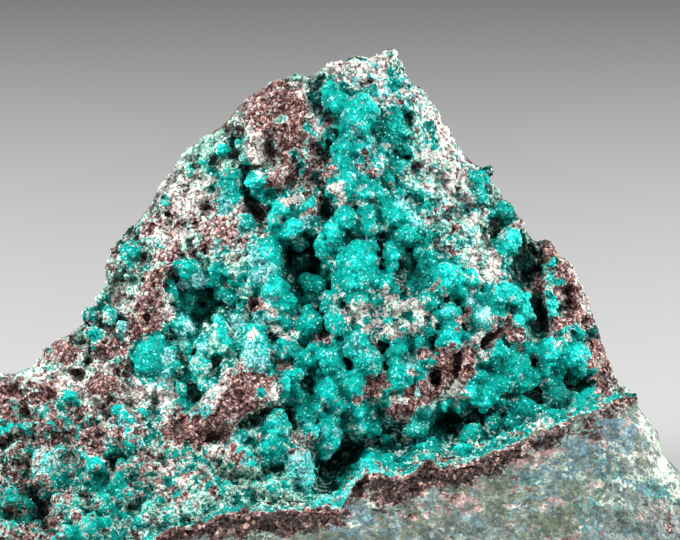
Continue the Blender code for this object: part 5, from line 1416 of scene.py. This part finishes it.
def write_measure(data, name, values):
    layer = data.attributes.new(name, "FLOAT", "POINT")
    layer.data.foreach_set("value", np.clip(values, 0.0, 1.0).astype(np.float32))


def set_points(data, points):
    data.vertices.foreach_set("co", points.astype(np.float32).ravel())
    data.update()


def remeshed(parts, voxel, is_low):
    """One closed mesh around overlapping closed parts, cut flat at the base where it reaches that low."""
    data = mesh_of("parts", *joined(parts))
    data = applied(data, "REMESH", {"mode": "VOXEL", "voxel_size": voxel, "adaptivity": 0.0})
    return cut_flat(data) if is_low else data


def front_piece(builder, name, mask, voxel, parts, finish, is_low=False):
    """A visible sheet with its balls, thinned at its hidden back, worn, and measured for its material."""
    wear, measure, material, node, slot = finish
    relief = builder.relief
    data = remeshed([builder.sheet(mask, relief.bare, builder.sheet_back)] + parts, voxel, is_low)
    points = vectors_of(data, "co")
    data = thinned(data, builder.buried(*unplace(points), EDGE_KEPT) & (points[:, 2] > FLOOR_KEPT))
    points = vectors_of(data, "co")
    spots, depth = unplace(points)
    rim = relief.sample(builder.slab_shares[..., SLAB_KINDS.index("rim")], spots)
    rise, grain, shade, pit = wear(points / MM, rim, builder.rng)
    rise = np.where(builder.buried(spots, depth, EDGE_KEPT), 0.0, rise * MM)
    points += vectors_of(data, "normal") * rise[:, None]
    points[:, 2] = np.maximum(points[:, 2], 0.0)
    set_points(data, points)
    write_measure(data, "grain", grain)
    write_measure(data, "shade", shade)
    write_measure(data, "pit", pit)
    measure(builder, data, spots, depth)
    return add_piece(name, data, material, node)


def warped(points, amount, size, seed):
    """Points moved a little by noise, all in mm."""
    return points + amount * np.stack([blobs(points, size, seed + step) for step in range(3)], 1)


# Each wear gives the rise of every point in mm, its grain's number and shade, and how near a gap it is

def crust_wear(points, rim, rng):
    """The fine crystals of the crust."""
    moved = warped(points, 0.06, 0.3, 201)
    lump = cells(moved, 0.9, 21)[1]
    gap, mark = cells(moved, 0.30, 3)
    fine_gap, fine_mark = cells(points, 0.17, 9)
    rise = 0.07 * (0.5 - gap) + 0.07 * (mark - 0.5) + 0.04 * (0.5 - fine_gap) + 0.05 * (fine_mark - 0.5)
    rise = rise + rng.normal(0.0, 0.008, len(points))
    return rise, 0.55 * lump + 0.45 * mark, fine_mark, smoothstep(gap, 0.7, 0.95)


def rock_wear(points, rim, rng):
    """The crumbling grains of gossan."""
    moved = warped(points, 0.15, 0.5, 211)
    lump = cells(moved, 0.75, 25)[1]
    gap, mark = cells(moved, 0.36, 13)
    fine_gap, fine_mark = cells(moved, 0.2, 15)
    rise = (0.16 * fractal(points, 1.5, 41, 4) + 0.14 * (lump - 0.5) + 0.16 * (0.5 - gap)
            + 0.16 * (mark - 0.5) + 0.06 * (0.5 - fine_gap) + 0.06 * (fine_mark - 0.5))
    rise = rise + rng.normal(0.0, 0.010, len(points))
    return rise, 0.5 * lump + 0.5 * mark, fine_mark, smoothstep(gap, 0.66, 0.92)


def slab_wear(points, rim, rng):
    """The low granular surface of massive chrysocolla, rougher along its rim."""
    moved = warped(points, 0.12, 0.5, 221)
    lump_gap, lump = cells(moved, 0.62, 35)
    gap, mark = cells(moved, 0.30, 27)
    rise = (0.14 * fractal(points, 1.6, 71, 5) + 0.07 * (lump - 0.5) + 0.06 * (0.5 - lump_gap)
            + 0.03 * (0.5 - gap) + 0.05 * (mark - 0.5))
    rise += rim * (0.45 * fractal(points, 0.9, 77, 3) + 0.26 * (0.5 - gap) + 0.28 * (mark - 0.5))
    shade = (lump * 7.31 + mark * 3.17) % 1.0
    return rise, 0.5 * lump + 0.5 * mark, shade, smoothstep(gap, 0.7, 0.95)


def core_wear(points):
    """Broken rock: chips with flat faces, and grain on them."""
    chip, mark = cells(points, 1.4, 19)
    grain, fine_mark = cells(points, 0.5, 29)
    return (0.22 * fractal(points, 2.4, 81, 4) + 0.16 * (mark - 0.5) + 0.10 * (0.5 - chip)
            + 0.07 * (fine_mark - 0.5) + 0.05 * (0.5 - grain))


# The shares of brown, pale, mint and cyan where no patch is named
CRUST_MIXTURE = (0.015, 0.015, 0.03, 0.03)
ROCK_MIXTURE = (0.30, 0.26, 0.24, 0.04)
SLAB_MIXTURE = {"rim": 0.05, "rose": 0.08, "cream": 0.04, "sea": 0.07, "blue": 0.18, "olive": 0.30}


def write_totals(data, kinds, shares):
    """Writes the share of each kind together with those before it."""
    total = 0.0
    for kind, share in zip(kinds, shares):
        total = total + share
        write_measure(data, "to_" + kind, total)


def measure_face(mixture, is_rock):
    """Gives a function that writes what each place of the face is made of, and where light and shade are
    painted by how it lies.
    """
    def write(builder, data, spots, depth):
        relief = builder.relief
        shares = relief.sample(builder.shares, spots)
        left = np.clip(1.0 - shares.sum(1), 0.0, 1.0)
        below = relief.sample(builder.level, spots) - depth
        exposed = 1.0 if is_rock else 0.2 + 2.2 * smoothstep(below, -0.15, 0.5)
        drift = exposed * (1.0 + 1.1 * fractal(flat(spots), 34.0, 51, 3))
        other = exposed * (1.0 - 1.1 * fractal(flat(spots), 26.0, 57, 3))
        kinds = ("brown", "pale", "mint", "cyan")
        parts = zip(kinds, mixture, (drift, other, drift, other))
        write_totals(data, kinds, [shares[:, KINDS.index(kind)] + left * part * uneven
                                   for kind, part, uneven in parts])
        # Painted light and shade: "height" lightens raised places and darkens sunk ones; "crack" and "deep"
        # mark painted shade in cracks and recesses
        write_measure(data, "height", 0.5 - 0.55 * below)
        write_measure(data, "crack", relief.sample(builder.crack, spots) * smoothstep(below, -0.1, 0.4))
        write_measure(data, "deep", shares[:, KINDS.index("deep")] + 0.4 * smoothstep(below, 0.45, 2.0))
    return write


def measure_slab(builder, data, spots, depth):
    """Writes the slab's minerals, with a mixture where no patch is named."""
    shares = builder.relief.sample(builder.slab_shares, spots)
    left = np.clip(1.0 - shares.sum(1), 0.0, 1.0)
    drift = 1.0 + 1.2 * fractal(flat(spots), 40.0, 93, 3)
    write_totals(data, SLAB_MIXTURE, [shares[:, SLAB_KINDS.index(kind)] + left * part * drift
                                      for kind, part in SLAB_MIXTURE.items()])


def build_crust(builder, x):
    # The last two colours are painted shade for the recesses and the cracks
    material = face_mineral("brochantite_druse", 0.06, 0.30, (0.26, 0.50, 0.45), (0.35, 0.60, 0.56))
    finish = (crust_wear, measure_face(CRUST_MIXTURE, False), material, "brochantite_crust", "brochantite")
    crust = builder.crust_share
    crust_parts = (
        ("crust_left", -np.inf, 232), ("crust_middle", 232, 324),
        ("crust_centre", 324, 412), ("crust_right", 412, np.inf),
    )
    for name, start, end in crust_parts:
        area = crust & (x >= start) & (x < end)
        wide = grown(area, 3) & grown(crust, 1) & builder.within
        big = builder.balls(area, CRUST_BALLS, BALL_LIFT)
        small = builder.balls(area, SMALL_CRUST_BALLS, BALL_LIFT)
        both = (np.concatenate([big[0], small[0]]), np.concatenate([big[1], small[1]]) * FINE_SHARE)
        budding = builder.on_balls(*both, 11)
        strewn = builder.scattered(area, int(area.sum() * 0.055), 2.0, 7.0, 0.75, 0.3)
        parts = [many_balls(*both, 3, builder.rng), many_balls(*budding, 2, builder.rng),
                 many_balls(*strewn, 2, builder.rng, 0.35)] + builder.lobes(area)
        front_piece(builder, name, wide, CRUST_VOXEL, parts, finish)


def build_rock(builder, x, y):
    # The last two colours are painted shade for the recesses and the cracks
    material = face_mineral("granular_gossan", 0.1, 0.45, (0.32, 0.46, 0.42), (0.18, 0.165, 0.165))
    finish = (rock_wear, measure_face(ROCK_MIXTURE, True), material, "matrix", "gossan")
    rock = builder.within & ~builder.crust_share & ~builder.slab_share
    seen = (x > -8) & (y < 548)
    rock_parts = (
        ("gossan_left", (x < 262) & (y < 335) & seen, ROCK_VOXEL, False),
        ("gossan_summit", (x >= 262) & (y < 262) & seen, ROCK_VOXEL, False),
        ("gossan_right", (x >= 262) & (y >= 262) & seen, ROCK_VOXEL, False),
        ("gossan_lower", (x < 262) & (y >= 335) & seen, ROCK_VOXEL, False),
        ("gossan_foot", ~seen, FOOT_VOXEL, True),
    )
    for name, zone, voxel, is_low in rock_parts:
        area = rock & zone
        wide = grown(area, 4) & builder.within
        balls = builder.balls(area, ROCK_BALLS + SMALL_ROCK_BALLS, BALL_LIFT)
        budding = builder.on_balls(*balls, 16)
        lumpy = area & ~builder.solid_brown
        lumps = builder.scattered(lumpy, int(lumpy.sum() * 0.016), 2.2, 7.0, 0.7, 0.35)
        crumbs = builder.scattered(area, int(area.sum() * 0.02), 1.4, 3.0, 0.8, 0.1)
        parts = [many_balls(*balls, 3, builder.rng), many_balls(*budding, 2, builder.rng),
                 many_balls(*lumps, 2, builder.rng, 0.4), many_balls(*crumbs, 1, builder.rng, 0.4)]
        front_piece(builder, name, wide, voxel, parts + builder.lobes(area), finish, is_low)


def build_slab(builder, x):
    finish = (slab_wear, measure_slab, slab_mineral(), "matrix", "gossan")
    slab = builder.within & builder.slab_share
    for name, zone in (("slab_left", x < 430), ("slab_right", x >= 430)):
        wide = grown(slab & zone, 4) & grown(slab, 1) & builder.within
        front_piece(builder, name, wide, SLAB_VOXEL, [], finish, is_low=True)


def build_core(builder):
    """The plain body of the rock behind the visible sheets."""
    relief = builder.relief
    inset = CORE_INSET * smoothstep(builder.edge_distance, 0.0, 14.0)
    inner = np.maximum(lowest_nearby(relief.bare, 3) - inset, builder.back + CORE_LEAST)
    data = remeshed([builder.sheet(builder.within, inner, builder.back)], CORE_VOXEL, True)
    points = vectors_of(data, "co")
    spots, depth = unplace(points)
    hidden = (depth > relief.sample(inner, spots) - 1.0) & (points[:, 2] > FLOOR_KEPT)
    hidden &= relief.sample(builder.edge_distance, spots) > CORE_EDGE_KEPT
    data = thinned(data, hidden)
    points = vectors_of(data, "co")
    spots, depth = unplace(points)
    behind = depth < relief.sample(builder.back, spots) + 2.5
    wear = np.where(behind, core_wear(points / MM), -0.1)
    points += vectors_of(data, "normal") * (wear * MM)[:, None]
    points[:, 2] = np.maximum(points[:, 2], 0.0)
    set_points(data, points)
    return add_piece("matrix_core", data, rock_mineral(), "matrix")


def build_all():
    builder = Builder()
    x = builder.on_grid(builder.relief.spots[:, 0])
    y = builder.on_grid(builder.relief.spots[:, 1])
    build_crust(builder, x)
    build_rock(builder, x, y)
    build_slab(builder, x)
    build_core(builder)


# Soft lights: name, place, size, power
LIGHTS_AIM = (0.0, 0.0, 0.018)
LIGHTS = (
    ("key", (0.075, -0.110, 0.175), 0.035, 0.27),
    ("left", (-0.16, -0.10, 0.17), 0.05, 0.24),
    ("right_side", (0.20, -0.05, 0.13), 0.06, 0.50),
    ("left_side", (-0.20, -0.05, 0.13), 0.06, 0.60),
    ("right_back", (0.26, 0.10, 0.12), 0.10, 1.0),
    ("left_back", (-0.26, 0.12, 0.10), 0.10, 0.9),
    ("front", (-0.04, -0.34, 0.10), 0.2, 0.12),
)


def add_light(name, spot, size, power):
    lamp = bpy.data.lights.new(name, "AREA")
    lamp.size = size
    lamp.energy = power
    body = bpy.data.objects.new(name, lamp)
    bpy.context.scene.collection.objects.link(body)
    body.location = spot
    body.rotation_euler = (Vector(LIGHTS_AIM) - Vector(spot)).to_track_quat("-Z", "Y").to_euler()
    return body


def add_studio():
    """A pale floor, soft light from the front and both sides, and the camera at the photograph's angle."""
    mesh = bmesh.new()
    bmesh.ops.create_grid(mesh, x_segments=1, y_segments=1, size=2.0)
    data = bpy.data.meshes.new("floor")
    mesh.to_mesh(data)
    mesh.free()
    floor = bpy.data.objects.new("floor", data)
    bpy.context.scene.collection.objects.link(floor)
    paper = bpy.data.materials.new("pale_paper")
    paper.use_nodes = True
    paper.node_tree.nodes["Principled BSDF"].inputs["Base Color"].default_value = (0.30, 0.30, 0.297, 1.0)
    paper.node_tree.nodes["Principled BSDF"].inputs["Roughness"].default_value = 0.9
    data.materials.append(paper)

    for light in LIGHTS:
        add_light(*light)

    world = bpy.data.worlds.new("studio")
    world.use_nodes = True
    world.node_tree.nodes["Background"].inputs["Color"].default_value = (0.9, 0.93, 1.0, 1.0)
    world.node_tree.nodes["Background"].inputs["Strength"].default_value = 0.13
    bpy.context.scene.world = world
    bpy.context.scene.view_settings.view_transform = "Standard"

    lens = bpy.data.cameras.new("camera")
    lens.sensor_fit = "HORIZONTAL"
    lens.sensor_width = 36.0
    lens.lens = 36.0 * EYE_DISTANCE / FACE_WIDTH
    lens.clip_start = 0.01
    lens.clip_end = 20.0
    camera = bpy.data.objects.new("camera", lens)
    bpy.context.scene.collection.objects.link(camera)
    camera.location = FACE_ORIGIN + TO_VIEWER * EYE_DISTANCE
    camera.rotation_euler = (math.pi / 2 - VIEW_TILT, 0.0, 0.0)
    bpy.context.scene.camera = camera


build_all()
add_studio()
